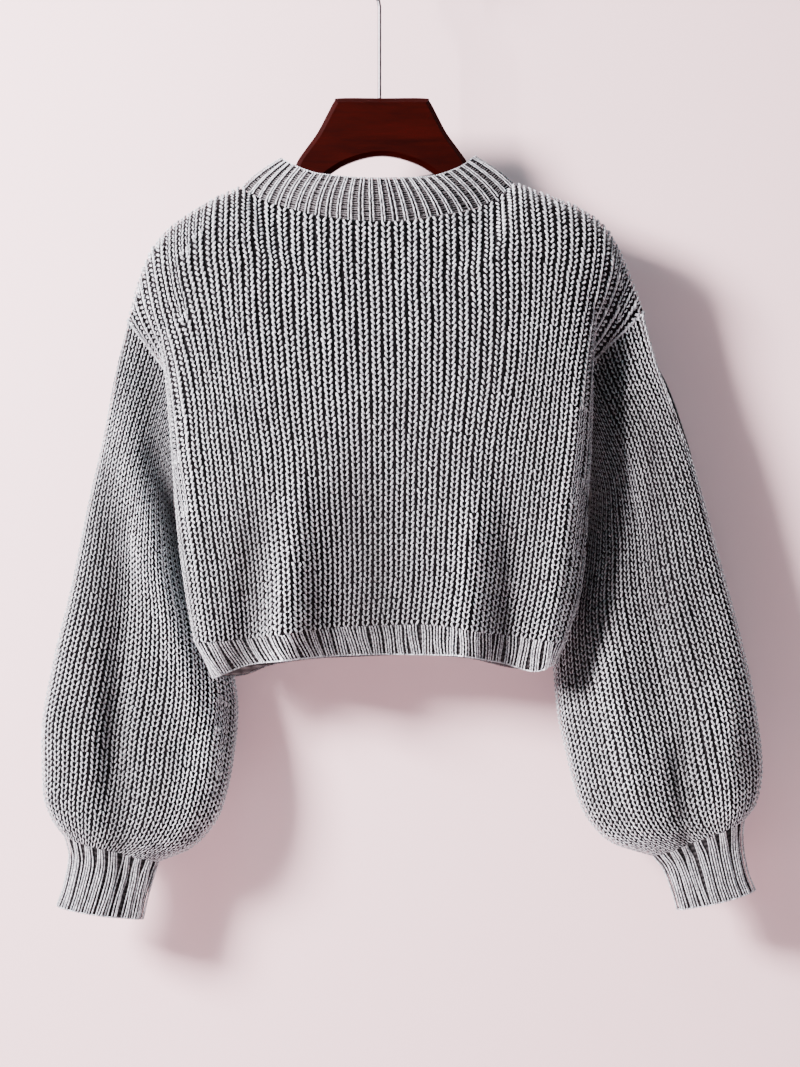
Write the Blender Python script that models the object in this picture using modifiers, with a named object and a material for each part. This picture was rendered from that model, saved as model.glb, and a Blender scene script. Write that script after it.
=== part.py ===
"""A cropped sweater in heavy half-cardigan rib, hung on a wooden hanger.

Each knitted piece is a closed wall. Its outer points follow a surface worked out from a few
short tables of sections, and rise into ribs; its inner points are plain. Neighbouring pieces
share the points of their seam, held SEAM_GAP apart. Lengths are in millimetres until a mesh
is made. The origin is inside the top of the hook, where a rail bears; +Z is up, and the
front of the sweater faces -Y. Left and right are as seen from the front.
"""

import math

import bmesh
import bpy
import numpy as np

MM = 0.001

# Cloth
SEAM_GAP = 0.5
WALL = 3.0
RIB_RISE = 1.5
FINE_RIB_RISE = 0.9
PANEL_RIBS = 46
SLEEVE_RIBS = 46
NECKBAND_RIBS = 56
HEM_RIBS = 32
CUFF_RIBS = 18

# How far up a panel its armhole starts, and its shoulder starts to round over, as shares
# of each rib's length. The neck lies between two ribs.
UNDERARM = 0.44
SHOULDER_ROUND = 0.84
NECK_START = 12
NECK_END = 34

# Ribs from the middle of a panel over which its top edge turns from neck into shoulder
SHOULDER_BLEND = (9.5, 12.5)

# Shares up or down each piece at which it has a row of points
PANEL_ROWS = (0, 0.15, 0.3, UNDERARM, 0.58, 0.72, SHOULDER_ROUND, 0.93, 0.98, 1)
SLEEVE_ROWS = (0, 0.07, 0.16, 0.27, 0.38, 0.5, 0.62, 0.73, 0.83, 0.9, 0.95, 0.98, 1)
BAND_ROWS = (0, 0.5, 1)
CUFF_ROWS = (0, 0.3, 0.7, 1)

# Points at which the smooth surfaces are worked out, before the walls' points are taken
SECTION_POINTS = 161
RIB_SAMPLES = np.linspace(0, PANEL_RIBS, 4 * PANEL_RIBS + 1)
UP_SAMPLES = np.linspace(0, SHOULDER_ROUND, 43)
DOWN_SAMPLES = np.linspace(0, 1, 61)
ROUND_SAMPLES = np.linspace(0, 1, 185)
ARMHOLE_SAMPLES = np.linspace(0, 1, 41)

# share up, x of the widest point, its y on the front, seam x, seam y on the front,
# seam y on the back, y of the back's widest point
LEFT_SIDE = (
    (0.00, -166, -6, -163, 3, 3, 12),
    (0.15, -174, -9, -171, 6, 6, 16),
    (0.30, -180, -12, -176, 9, 9, 20),
    (UNDERARM, -184, -14, -180, 12, 12, 24),
    (0.58, -187, -16, -182, 5, 21, 32),
    (0.72, -190, -16, -186, 4, 24, 34),
    (SHOULDER_ROUND, -195, -14, -192, 4, 22, 31),
)
RIGHT_SIDE = (
    (0.00, 167, -6, 164, 3, 3, 12),
    (0.15, 181, -10, 177, 6, 6, 16),
    (0.30, 186, -14, 181, 9, 9, 20),
    (UNDERARM, 188, -17, 183, 13, 13, 24),
    (0.58, 190, -19, 184, 7, 22, 32),
    (0.72, 191, -19, 185, 6, 25, 34),
    (SHOULDER_ROUND, 193, -17, 188, 6, 22, 31),
)
# share up, how far the front and the back bulge past their sides
BULGE = (
    (0.00, 22, 22),
    (0.30, 33, 26),
    (0.60, 37, 22),
    (SHOULDER_ROUND, 34, 18),
)
BULGE_POWER = 2.3

# rib, x, z, y of the shoulder seams, and of the front's neck edge
LEFT_SHOULDER = (
    (0, -227, -351, 4),
    (1, -224, -338, 4),
    (2.2, -217, -315, 4),
    (3.3, -210, -298, 4),
    (4.1, -205, -287, 4),
    (5.3, -193, -271, 4),
    (7, -174, -256, 4),
    (9.3, -148, -241, 4),
    (NECK_START, -125, -230, 4),
)
FRONT_NECK = (
    (NECK_START, -125, -230, 4),
    (13.9, -105, -244, -10),
    (15.7, -84, -252, -21),
    (18, -57, -260, -31),
    (20.4, -29, -265, -38),
    (22.7, -3, -267, -40),
    (24.8, 21, -266, -39),
    (26.5, 40, -263, -36),
    (28.3, 61, -259, -31),
    (30.8, 90, -251, -18),
    (32.6, 109, -239, -7),
    (NECK_END, 123, -227, 4),
)
RIGHT_SHOULDER = (
    (NECK_END, 123, -227, 4),
    (35.9, 139, -234, 4),
    (38.7, 170, -245, 4),
    (40.8, 192, -257, 4),
    (42.3, 207, -272, 4),
    (43.4, 218, -291, 4),
    (44.5, 227, -313, 4),
    (45.3, 234, -331, 4),
    (46, 238, -344, 4),
)
# rib, z, y of the back's neck edge, which has the front's x
BACK_NECK = (
    (NECK_START, -230, 4),
    (13.9, -240, 19),
    (15.7, -246, 30),
    (18.5, -252, 41),
    (23, -256, 47),
    (27.5, -252, 41),
    (30.8, -245, 27),
    (32.6, -237, 17),
    (NECK_END, -227, 4),
)
# x, z of the seam between panel and hem rib, and of the rib's edge on each panel
HEM_SEAM = (
    (-166, -641),
    (-116, -637),
    (-66, -630),
    (-24, -626),
    (41, -624),
    (99, -632),
    (167, -641),
)
FRONT_HEM = (
    (-150, -673),
    (-113, -660),
    (-65, -654),
    (10, -651),
    (64, -651),
    (110, -659),
    (139, -666),
    (161, -658),
)
BACK_HEM = (
    (-150, -673),
    (-124, -671),
    (-99, -662),
    (-40, -655),
    (20, -653),
    (80, -656),
    (130, -665),
    (161, -658),
)
HEM_LEFT = (-150, 1)
HEM_RIGHT = (161, 1)
HEM_BULGE = (25, 24)
HEM_FOLD_SPREAD = 0.95

# x at the hem, x at the fold's top end, share up where it ends, depth inwards, half width
FRONT_FOLDS = (
    (-117, -122, 0.26, 4, 13),
    (-84, -79, 0.52, -5, 15),
    (-42, -30, 0.48, 9, 19),
    (8, 4, 0.36, 4, 16),
    (66, 70, 0.42, -5, 16),
    (111, 114, 0.36, 7, 14),
    (148, 150, 0.30, -4, 12),
)
BACK_FOLDS = (
    (-108, -112, 0.40, 6, 15),
    (-58, -50, 0.34, -4, 16),
    (-6, -12, 0.52, 8, 19),
    (52, 58, 0.38, -5, 16),
    (104, 112, 0.46, 7, 15),
)

# share down, outer x, z, y, inner x, z, y, half depth in front and behind
LEFT_SLEEVE = (
    (0.00, -227, -351, 4, -180, -514, 12, 20, 16),
    (0.10, -239, -402, 4, -190, -521, 18, 24, 18),
    (0.20, -249, -456, 5, -189, -536, 33, 28, 22),
    (0.32, -262, -514, 6, -168, -580, 52, 32, 26),
    (0.50, -279, -596, 8, -143, -644, 58, 37, 30),
    (0.65, -295, -662, 10, -131, -705, 50, 39, 32),
    (0.80, -305, -727, 12, -135, -752, 40, 39, 33),
    (0.90, -304, -776, 12, -145, -795, 31, 36, 31),
    (0.96, -296, -801, 11, -170, -828, 27, 33, 27),
    (1.00, -285, -816, 10, -200, -840, 20, 25, 20),
)
RIGHT_SLEEVE = (
    (0.00, 238, -344, 4, 183, -510, 13, 20, 16),
    (0.10, 249, -385, 4, 194, -517, 17, 25, 18),
    (0.20, 265, -428, 6, 193, -535, 33, 29, 22),
    (0.32, 283, -481, 8, 174, -580, 52, 33, 26),
    (0.50, 306, -563, 10, 160, -648, 56, 38, 30),
    (0.65, 326, -636, 12, 163, -702, 46, 40, 32),
    (0.80, 341, -706, 14, 172, -748, 38, 40, 33),
    (0.90, 346, -757, 14, 183, -790, 30, 36, 31),
    (0.96, 341, -786, 13, 209, -823, 26, 33, 27),
    (1.00, 330, -801, 12, 247, -835, 20, 25, 20),
)
# place across from the inner side, depth inwards, half width, share down where it starts and
# ends; the first row of each pair of tables is on the front, the second on the back
LEFT_SLEEVE_FOLDS = (
    ((0.34, -5, 0.12, 0.15, 0.99), (0.62, 9, 0.08, 0.25, 0.99)),
    ((0.40, 6, 0.10, 0.20, 0.9), (0.68, -4, 0.10, 0.30, 0.99)),
)
RIGHT_SLEEVE_FOLDS = (
    ((0.28, -4, 0.12, 0.30, 0.99), (0.53, 8, 0.08, 0.10, 0.99), (0.72, -5, 0.10, 0.40, 0.99)),
    ((0.45, 6, 0.10, 0.20, 0.9), (0.70, -4, 0.10, 0.30, 0.99)),
)
# Share down over which a fold sets in and ends; and over which the armhole's shape fades
# into the sleeve's, with the power of that fade
FOLD_FADE = 0.15
SLEEVE_HEAD = 0.45
SLEEVE_HEAD_POWER = 1.5

# share down, outer x, z, y, inner x, z, y, half depth in front and behind
LEFT_CUFF = (
    (0.0, -285, -816, 10, -200, -840, 20, 25, 20),
    (0.3, -281, -834, 12, -204, -853, 18, 22, 19),
    (0.7, -286, -862, 12, -210, -874, 18, 23, 20),
    (1.0, -292, -879, 12, -214, -892, 18, 24, 21),
)
RIGHT_CUFF = (
    (0.0, 330, -801, 12, 247, -835, 20, 25, 20),
    (0.3, 329, -819, 14, 256, -846, 20, 22, 19),
    (0.7, 333, -847, 14, 265, -867, 20, 23, 20),
    (1.0, 340, -865, 14, 270, -884, 20, 24, 21),
)

# share round from left to right, x, z, y of the neckband's top edge
BAND_TOP_FRONT = (
    (0, -89, -204, 5),
    (0.12, -77, -212.5, -9),
    (0.26, -51, -223, -25),
    (0.5, -3, -228, -36),
    (0.74, 42, -226, -29),
    (0.88, 70, -216, -15),
    (1, 87, -202, 5),
)
BAND_TOP_BACK = (
    (0, -89, -204, 5),
    (0.12, -78, -209, 25),
    (0.26, -53, -215, 37),
    (0.5, -3, -219, 44),
    (0.74, 45, -215, 37),
    (0.88, 71, -209, 25),
    (1, 87, -202, 5),
)
BAND_SWELL = 3

# Hanger: the outline of its right half, from the top centre round to the arch's centre
HANGER_THICK = 12
HANGER_X = 2.2
HANGER_Y = 3
HANGER_HALF = (
    (0, -151),
    (38, -151),
    (43, -154),
    (49, -165),
    (58, -182),
    (68, -196),
    (75, -206),
    (81, -218),
    (88, -228),
    (99, -234),
    (118, -241.2),
    (145, -249.2),
    (170, -259.2),
    (183, -268.2),
    (186, -276),
    (183, -282),
    (175, -282.5),
    (145, -269.5),
    (112, -258),
    (84, -246),
    (58, -227.5),
    (32, -210.5),
    (0, -203),
)
HANGER_BEVEL = 3
# Hook
WIRE = 3.4
HOOK_INSIDE = 20
SHANK_FOOT = -150.7
SHANK_JOINT = -120
SHANK_TOP = -68
HOOK_START_ANGLE = 205
HOOK_END_ANGLE = -25
HOOK_LEAD_STEPS = 8
HOOK_STEPS = 22

COLOURS = {
    "knit": ((0.62, 0.60, 0.62, 1), 0.9, 0.0),
    "wood": ((0.09, 0.018, 0.012, 1), 0.25, 0.0),
    "metal": ((0.75, 0.74, 0.73, 1), 0.2, 1.0),
}


# ---------------------------------------------------------------- tables and small helpers
def smooth(table, at):
    """The rows of a table, keyed by its first column, joined by a smooth curve that never
    overshoots them."""
    table = np.asarray(table, float)
    keys, rows = table[:, 0], table[:, 1:]
    at = np.clip(np.asarray(at, float), keys[0], keys[-1])
    step = np.diff(keys)[:, None]
    slope = np.diff(rows, axis=0) / step
    tangent = np.zeros_like(rows)
    tangent[0] = slope[0]
    tangent[-1] = slope[-1]
    before, after = slope[:-1], slope[1:]
    same_way = before * after > 0
    total = np.where(same_way, before + after, 1)
    tangent[1:-1] = np.where(same_way, 2 * before * after / total, 0)
    index = np.clip(np.searchsorted(keys, at, side="right") - 1, 0, len(keys) - 2)
    width = step[index]
    t = ((at - keys[index]) / width[..., 0])[..., None]
    return (
        (1 + 2 * t) * (1 - t) ** 2 * rows[index]
        + t * (1 - t) ** 2 * width * tangent[index]
        + t * t * (3 - 2 * t) * rows[index + 1]
        + t * t * (t - 1) * width * tangent[index + 1]
    )


def ease(t):
    """0 to 1 with level ends."""
    t = np.clip(t, 0, 1)
    return t * t * (3 - 2 * t)


def along(points, shares):
    """Points at the given shares of a line's length."""
    steps = np.linalg.norm(np.diff(points, axis=0), axis=1)
    length = np.concatenate([[0], np.cumsum(steps)])
    return np.stack([np.interp(shares * length[-1], length, axis) for axis in points.T], axis=-1)


def between(grid, row, column):
    """Points of a grid at fractions of its rows and columns."""
    row = np.clip(row, 0, len(grid) - 1.001)
    column = np.clip(column, 0, grid.shape[1] - 1.001)
    r, c = row.astype(int), column.astype(int)
    a, b = (row - r)[..., None], (column - c)[..., None]
    low = grid[r, c] * (1 - b) + grid[r, c + 1] * b
    high = grid[r + 1, c] * (1 - b) + grid[r + 1, c + 1] * b
    return low * (1 - a) + high * a


def unit(vectors):
    return vectors / np.maximum(np.linalg.norm(vectors, axis=-1, keepdims=True), 1e-9)


# ---------------------------------------------------------------- the panels' surfaces
def bulge_line(left, right, bulge, folds, share_up, outward):
    """A panel's cross-section from seam to seam, as points (x, y). left and right hold the
    widest point's x and y and the seam's x and y; outward is -1 in front and 1 behind."""
    turn = np.linspace(0, math.pi, SECTION_POINTS)
    across = -np.cos(turn)
    middle, half = (left[0] + right[0]) / 2, (right[0] - left[0]) / 2
    x = middle + half * across
    y = left[1] + (right[1] - left[1]) * (across + 1) / 2
    y = y + outward * bulge * (1 - np.abs(across) ** BULGE_POWER) ** (1 / 2)
    for foot, head, top, depth, width in folds:
        centre = foot + (head - foot) * share_up / top
        y = y - outward * depth * ease(1 - share_up / top) * np.exp(-(((x - centre) / width) ** 2))
    line = np.stack([x, y], axis=1)
    return np.concatenate([[left[2:4]], line, [right[2:4]]])


def panel_lines(front):
    """Cross-sections at UP_SAMPLES, each at RIB_SAMPLES evenly spaced round it."""
    lines = []
    for share_up in UP_SAMPLES:
        left, right = smooth(LEFT_SIDE, share_up), smooth(RIGHT_SIDE, share_up)
        bulge = smooth(BULGE, share_up)
        widest, seam = (1, 3) if front else (5, 4)
        ends = [(side[0], side[widest], side[2], side[seam]) for side in (left, right)]
        line = bulge_line(
            ends[0],
            ends[1],
            bulge[0 if front else 1],
            FRONT_FOLDS if front else BACK_FOLDS,
            share_up,
            -1 if front else 1,
        )
        lines.append(along(line, RIB_SAMPLES / PANEL_RIBS))
    return np.array(lines)


def top_edge(front, rib):
    """x, z, y of a panel's top edge at each rib."""
    neck = smooth(FRONT_NECK, rib)
    if not front:
        neck[..., 1:] = smooth(BACK_NECK, rib)
    rib = rib[..., None]
    shoulder = np.where(rib < NECK_START, smooth(LEFT_SHOULDER, rib[..., 0]), neck)
    return np.where(rib > NECK_END, smooth(RIGHT_SHOULDER, rib[..., 0]), shoulder)


def panel_surface(front):
    """A function from rib number and share up to points on the panel."""
    lines = panel_lines(front)
    per_rib = 1 / RIB_SAMPLES[1]

    def looked_up(rib, share_up):
        return between(lines, share_up / UP_SAMPLES[1], rib * per_rib)

    def surface(rib, share_up):
        rib, share_up = np.broadcast_arrays(np.asarray(rib, float), np.asarray(share_up, float))
        top = top_edge(front, rib)
        foot_x = looked_up(rib, np.zeros_like(rib))[..., 0]
        foot_z = smooth(HEM_SEAM, foot_x)[..., 0]
        body = looked_up(rib, np.minimum(share_up, SHOULDER_ROUND))
        t = np.clip((share_up - SHOULDER_ROUND) / (1 - SHOULDER_ROUND), 0, 1)
        off_middle = np.abs(rib - (NECK_START + NECK_END) / 2)
        start, end = SHOULDER_BLEND
        on_shoulder = ease((off_middle - start) / (end - start))
        keep = on_shoulder * np.sqrt(1 - t * t) + (1 - on_shoulder) * (1 - t)
        x = body[..., 0] * (1 - t) + top[..., 0] * t
        y = body[..., 1] * keep + top[..., 2] * (1 - keep)
        z = foot_z * (1 - share_up) + top[..., 1] * share_up
        return np.stack([x, y, z], axis=-1)

    return surface


FRONT_SURFACE = panel_surface(True)
BACK_SURFACE = panel_surface(False)


# ---------------------------------------------------------------- the tubes' surfaces
def armhole(rib, share_round):
    """The sleeve's end of the armhole: from the underarm up the front's edge to the shoulder
    tip, then down the back's edge."""
    rise = UNDERARM + (1 - UNDERARM) * ARMHOLE_SAMPLES
    front = along(FRONT_SURFACE(rib, rise), ARMHOLE_SAMPLES)
    back = along(BACK_SURFACE(rib, rise), ARMHOLE_SAMPLES)
    loop = np.concatenate([front, back[-2::-1]])
    places = np.linspace(0, 1, len(loop))
    return np.stack([np.interp(share_round, places, axis) for axis in loop.T], axis=-1)


def ring(row, folds, share_down):
    """One section of a tube: from its inner side across the front to its outer side, and
    back behind."""
    outer = np.array([row[0], row[2], row[1]])
    inner = np.array([row[3], row[5], row[4]])
    turn = np.linspace(0, 2 * math.pi, SECTION_POINTS)
    across = (1 - np.cos(turn)) / 2
    points = inner + (outer - inner) * across[:, None]
    in_front = turn < math.pi
    depth = np.where(in_front, -row[6], row[7]) * np.abs(np.sin(turn))
    for side, rows in enumerate(folds):
        there = in_front if side == 0 else ~in_front
        inwards = 1 if side == 0 else -1
        for place, amount, width, start, end in rows:
            strength = ease((share_down - start) / FOLD_FADE) * ease((end - share_down) / FOLD_FADE)
            dent = amount * strength * np.exp(-(((across - place) / width) ** 2))
            depth = depth + np.where(there, inwards * dent, 0)
    points[:, 1] += depth
    return points


def tube_surface(table, folds, rib_at_armhole=None):
    """A function from share round and share down to points on a sleeve or cuff. A sleeve's
    head grows out of the armhole."""
    rings = np.array(
        [along(ring(smooth(table, down), folds, down), ROUND_SAMPLES) for down in DOWN_SAMPLES]
    )
    if rib_at_armhole is not None:
        head = armhole(rib_at_armhole, ROUND_SAMPLES) - rings[0]
        fade = ease(1 - DOWN_SAMPLES / SLEEVE_HEAD) ** SLEEVE_HEAD_POWER
        rings = rings + head * fade[:, None, None]

    def surface(share_round, share_down):
        share_round, share_down = np.broadcast_arrays(
            np.asarray(share_round, float), np.asarray(share_down, float)
        )
        row = share_down / DOWN_SAMPLES[1]
        column = (share_round % 1) / ROUND_SAMPLES[1]
        return between(rings, row, column)

    return surface


# ---------------------------------------------------------------- walls
def normals(points, round_it, flip):
    """Unit normals of a grid of points by the differences to its neighbours."""
    if round_it:
        over = np.roll(points, -1, axis=1) - np.roll(points, 1, axis=1)
    else:
        over = np.gradient(points, axis=1)
    up = np.gradient(points, axis=0)
    return unit(np.cross(over, up)) * (-1 if flip else 1)


def rim_faces(outer, inner, ratio, closed):
    """Triangles between a line of outer points and a line of inner points, of which there is
    one to each 'ratio' outer points."""
    faces = []
    spans = len(inner) if closed else len(inner) - 1
    for span in range(spans):
        near, far = inner[span], inner[(span + 1) % len(inner)]
        for k in range(ratio):
            a = outer[(span * ratio + k) % len(outer)]
            b = outer[(span * ratio + k + 1) % len(outer)]
            faces.append((a, b, near if k < (ratio + 1) // 2 else far))
        turning = outer[(span * ratio + (ratio + 1) // 2) % len(outer)]
        faces.append((turning, far, near))
    return faces


def wall(outer, inner, closed, flip):
    """The vertices and faces of a wall between two grids (rows, columns, xyz). The inner one
    has fewer columns. closed joins the last column to the first."""
    rows = outer.shape[0]
    wide, narrow = outer.shape[1], inner.shape[1]
    ratio = wide // narrow if closed else (wide - 1) // (narrow - 1)
    vertices = np.concatenate([outer.reshape(-1, 3), inner.reshape(-1, 3)])
    first = rows * wide

    def quads(start, width, reverse):
        found = []
        for r in range(rows - 1):
            for c in range(width if closed else width - 1):
                a = start + r * width + c
                b = start + r * width + (c + 1) % width
                quad = (a, b, b + width, a + width)
                found.append(quad[::-1] if reverse else quad)
        return found

    faces = quads(0, wide, False) + quads(first, narrow, True)
    for r in (0, rows - 1):
        line = [r * wide + c for c in range(wide)]
        back = [first + r * narrow + c for c in range(narrow)]
        rim = rim_faces(line, back, ratio, closed)
        faces += [f[::-1] for f in rim] if r == 0 else rim
    if not closed:
        for r in range(rows - 1):
            a, b = r * wide, (r + 1) * wide
            c, d = first + r * narrow, first + (r + 1) * narrow
            faces.append((a, b, d, c))
            a, b, c, d = a + wide - 1, b + wide - 1, c + narrow - 1, d + narrow - 1
            faces.append((a, c, d, b))
    if flip:
        faces = [f[::-1] for f in faces]
    return vertices, faces


def ribs(columns, rise):
    """Rib height at each outer column: every second one is raised."""
    return np.where(np.arange(columns) % 2 == 1, rise, 0.0)


def material(name):
    found = bpy.data.materials.get(name)
    if found:
        return found
    colour, roughness, metallic = COLOURS[name]
    made = bpy.data.materials.new(name)
    made.use_nodes = True
    made.diffuse_color = colour
    shader = made.node_tree.nodes["Principled BSDF"]
    shader.inputs["Base Color"].default_value = colour
    shader.inputs["Roughness"].default_value = roughness
    shader.inputs["Metallic"].default_value = metallic
    return made


def add_object(name, data, material_name, collection):
    made = bpy.data.objects.new(name, data)
    collection.objects.link(made)
    data.materials.append(material(material_name))
    return made


def add_wall(name, outer, inner, closed, flip, collection):
    vertices, faces = wall(outer, inner, closed, flip)
    mesh = bpy.data.meshes.new(name)
    mesh.from_pydata((vertices * MM).tolist(), [], faces)
    mesh.validate()
    mesh.shade_smooth()
    return add_object(name, mesh, "knit", collection)


# ---------------------------------------------------------------- the sweater
def sleeve_facing(sleeve, share_round, outwards):
    """The sleeve's unit normals where it leaves the armhole."""
    over = sleeve(share_round + 0.01, 0) - sleeve(share_round - 0.01, 0)
    down = sleeve(share_round, SLEEVE_ROWS[1]) - sleeve(share_round, 0)
    return unit(np.cross(over, down)) * (1 if outwards else -1)


def share_seam_normals(base, facing, sleeves):
    """Makes the normals of both panels, and of a sleeve, the same where their edges meet."""
    columns = np.arange(2 * PANEL_RIBS + 1) / 2
    start = PANEL_ROWS.index(UNDERARM)
    shoulder = (columns <= NECK_START) | (columns >= NECK_END)
    for edge, sleeve, outwards in ((0, sleeves[0], True), (-1, sleeves[1], False)):
        for panel, points in enumerate(base):
            line = points[start:, edge]
            run = np.concatenate([[0], np.cumsum(np.linalg.norm(np.diff(line, axis=0), axis=1))])
            share = run / run[-1] / 2
            on_sleeve = sleeve_facing(sleeve, share if panel == 0 else 1 - share, outwards)
            facing[panel][start:, edge] = unit(facing[panel][start:, edge] + on_sleeve)
        for row in list(range(start + 1)) + [-1]:
            shared = unit(facing[0][row, edge] + facing[1][row, edge])
            facing[0][row, edge] = facing[1][row, edge] = shared
        for on_panel in facing:
            on_panel[-2, edge] = unit(on_panel[-2, edge] + on_panel[-1, edge])
    inside = shoulder.copy()
    inside[[0, -1]] = False
    shared = unit(facing[0][-1, inside] + facing[1][-1, inside])
    facing[0][-1, inside] = facing[1][-1, inside] = shared


def panel_grids(sleeves):
    """For the front and the back: the ribbed outer points, the inner points, and the outer
    points without ribs."""
    columns = np.arange(2 * PANEL_RIBS + 1) / 2
    rows = np.array(PANEL_ROWS)[:, None]
    base = [surface(columns[None, :], rows) for surface in (FRONT_SURFACE, BACK_SURFACE)]
    facing = [normals(base[0], False, False), normals(base[1], False, True)]
    share_seam_normals(base, facing, sleeves)
    rise = np.tile(ribs(len(columns), RIB_RISE), (len(rows), 1))
    rise[-1] = 0
    rise[PANEL_ROWS.index(UNDERARM) :, [1, -2]] = 0
    return [(b + f * rise[..., None], b - f * WALL, b) for b, f in zip(base, facing)]


def drawn_back(line, beside):
    """The step by which a seam line moves half a gap towards the line beside it."""
    towards = beside - line
    seam = unit(np.gradient(line, axis=0))
    towards -= seam * np.sum(towards * seam, axis=-1, keepdims=True)
    return unit(towards) * SEAM_GAP / 2


def closed_up(grid, edges):
    """A grid drawn back half a gap from its seams: 'edges' names which."""
    drawn = grid.copy()
    if "top" in edges:
        drawn[-1] += drawn_back(grid[-1], grid[-2])
    if "foot" in edges:
        drawn[0] += drawn_back(grid[0], grid[1])
    if "sides" in edges:
        drawn[:, 0] += drawn_back(grid[:, 0], grid[:, 1])
        drawn[:, -1] += drawn_back(grid[:, -1], grid[:, -2])
    return drawn


def add_panels(grids, collection):
    for name, (outer, inner, _), flip in (
        ("front_panel", grids[0], False),
        ("back_panel", grids[1], True),
    ):
        seams = ("top", "foot", "sides")
        outer, inner = closed_up(outer, seams), closed_up(inner, seams)
        add_wall(name, outer, inner[:, ::2], False, flip, collection)


def line_at(lines, shares, on_corners=False):
    """Points at shares of the first line's length, and the matching ones of the others.
    on_corners moves every second share nearest a corner of the lines onto it."""
    steps = np.linalg.norm(np.diff(lines[0], axis=0), axis=1)
    places = np.concatenate([[0], np.cumsum(steps)]) / steps.sum()
    if on_corners:
        nearest = 2 * np.argmin(np.abs(shares[::2] - places[:, None]), axis=1)
        shares = np.interp(np.arange(len(shares)), nearest, places)
    return [
        np.stack([np.interp(shares, places, axis) for axis in line.T], axis=-1) for line in lines
    ]


def armhole_rims(grids, side):
    """Outer and inner points of a sleeve's end, on the edges of the panels."""
    start = PANEL_ROWS.index(UNDERARM)
    columns = 2 * SLEEVE_RIBS
    shares = np.arange(SLEEVE_RIBS + 1) / SLEEVE_RIBS
    edges = []
    for _, inner, base in grids:
        edges.append(line_at([base[start:, side], inner[start:, side]], shares, True))
    rims = [np.concatenate([front, back[-2:0:-1]]) for front, back in zip(*edges)]
    assert len(rims[0]) == columns
    return rims


def add_tube(name, surface, rows, ribs_round, rise, rims, outwards, collection):
    """A ribbed tube, whose first ring follows the rims of the piece above. It returns the
    rims of its last ring."""
    columns = 2 * ribs_round
    shares = np.arange(columns) / columns
    base = surface(shares[None, :], np.array(rows)[:, None])
    normal = normals(base, True, not outwards)
    heights = np.tile(ribs(columns, rise), (len(rows), 1))[..., None]
    heights[1] /= 2
    outer, inner = base + normal * heights, base - normal * WALL
    last = base[-1], inner[-1]
    outer[0], inner[0] = rims
    outer, inner = closed_up(outer, ("top", "foot")), closed_up(inner, ("top", "foot"))
    add_wall(name, outer, inner[:, ::2], True, not outwards, collection)
    return last


def ring_rims(rims, columns):
    """A closed ring's outer and inner points at another number of even steps."""
    lines = [np.concatenate([line, line[:1]]) for line in rims]
    return line_at(lines, np.arange(columns) / columns)


def add_sleeves(sleeves, grids, collection):
    for name, side, sleeve, cuff in (
        ("left", 0, sleeves[0], LEFT_CUFF),
        ("right", -1, sleeves[1], RIGHT_CUFF),
    ):
        outwards = name == "left"
        rims = armhole_rims(grids, side)
        last = add_tube(
            name + "_sleeve", sleeve, SLEEVE_ROWS, SLEEVE_RIBS, RIB_RISE, rims, outwards, collection
        )
        add_tube(
            name + "_cuff",
            tube_surface(cuff, ()),
            CUFF_ROWS,
            CUFF_RIBS,
            FINE_RIB_RISE,
            ring_rims(last, 2 * CUFF_RIBS),
            outwards,
            collection,
        )


def neck_rims(grids):
    """The neck's outer and inner points, round from the left across the front."""
    shares = np.arange(NECKBAND_RIBS + 1) / NECKBAND_RIBS
    neck = slice(2 * NECK_START, 2 * NECK_END + 1, 2)
    halves = [line_at([base[-1, neck], inner[-1, neck]], shares, True) for _, inner, base in grids]
    return [np.concatenate([front, back[-2:0:-1]]) for front, back in zip(*halves)]


def add_neckband(grids, collection):
    columns = 2 * NECKBAND_RIBS
    shares = np.arange(NECKBAND_RIBS + 1) / NECKBAND_RIBS
    front, back = smooth(BAND_TOP_FRONT, shares), smooth(BAND_TOP_BACK, shares)
    top = np.concatenate([front, back[-2:0:-1]])[:, (0, 2, 1)]
    rims = neck_rims(grids)
    foot = rims[0]
    middle = foot.mean(axis=0)
    rows = []
    for share in BAND_ROWS:
        swell = unit((foot - middle) * (1, 1, 0)) * BAND_SWELL * 4 * share * (1 - share)
        rows.append(foot * (1 - share) + top * share + swell)
    base = np.array(rows)
    normal = normals(base, True, False)
    outer = base + normal * ribs(columns, FINE_RIB_RISE)[None, :, None]
    inner = base - normal * WALL
    outer[0], inner[0] = rims
    outer, inner = closed_up(outer, ("foot",)), closed_up(inner, ("foot",))
    add_wall("neckband", outer, inner[:, ::2], True, False, collection)


def hem_edge(front, shares):
    """The lower edge of the front's or the back's hem rib."""
    turn = np.linspace(0, math.pi, SECTION_POINTS)
    across = -np.cos(turn)
    left, right = HEM_LEFT, HEM_RIGHT
    x = (left[0] + right[0]) / 2 + (right[0] - left[0]) / 2 * across
    inwards = 1 if front else -1
    bulge = HEM_BULGE[0 if front else 1]
    y = left[1] - inwards * bulge * (1 - np.abs(across) ** BULGE_POWER) ** (1 / 2)
    for foot, _, _, depth, width in FRONT_FOLDS if front else BACK_FOLDS:
        y = y + inwards * depth * np.exp(-(((x - foot * HEM_FOLD_SPREAD) / width) ** 2))
    edge = along(np.stack([x, y], axis=1), shares)
    z = smooth(FRONT_HEM if front else BACK_HEM, edge[:, 0])[:, 0]
    return np.stack([edge[:, 0], edge[:, 1], z], axis=1)


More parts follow.
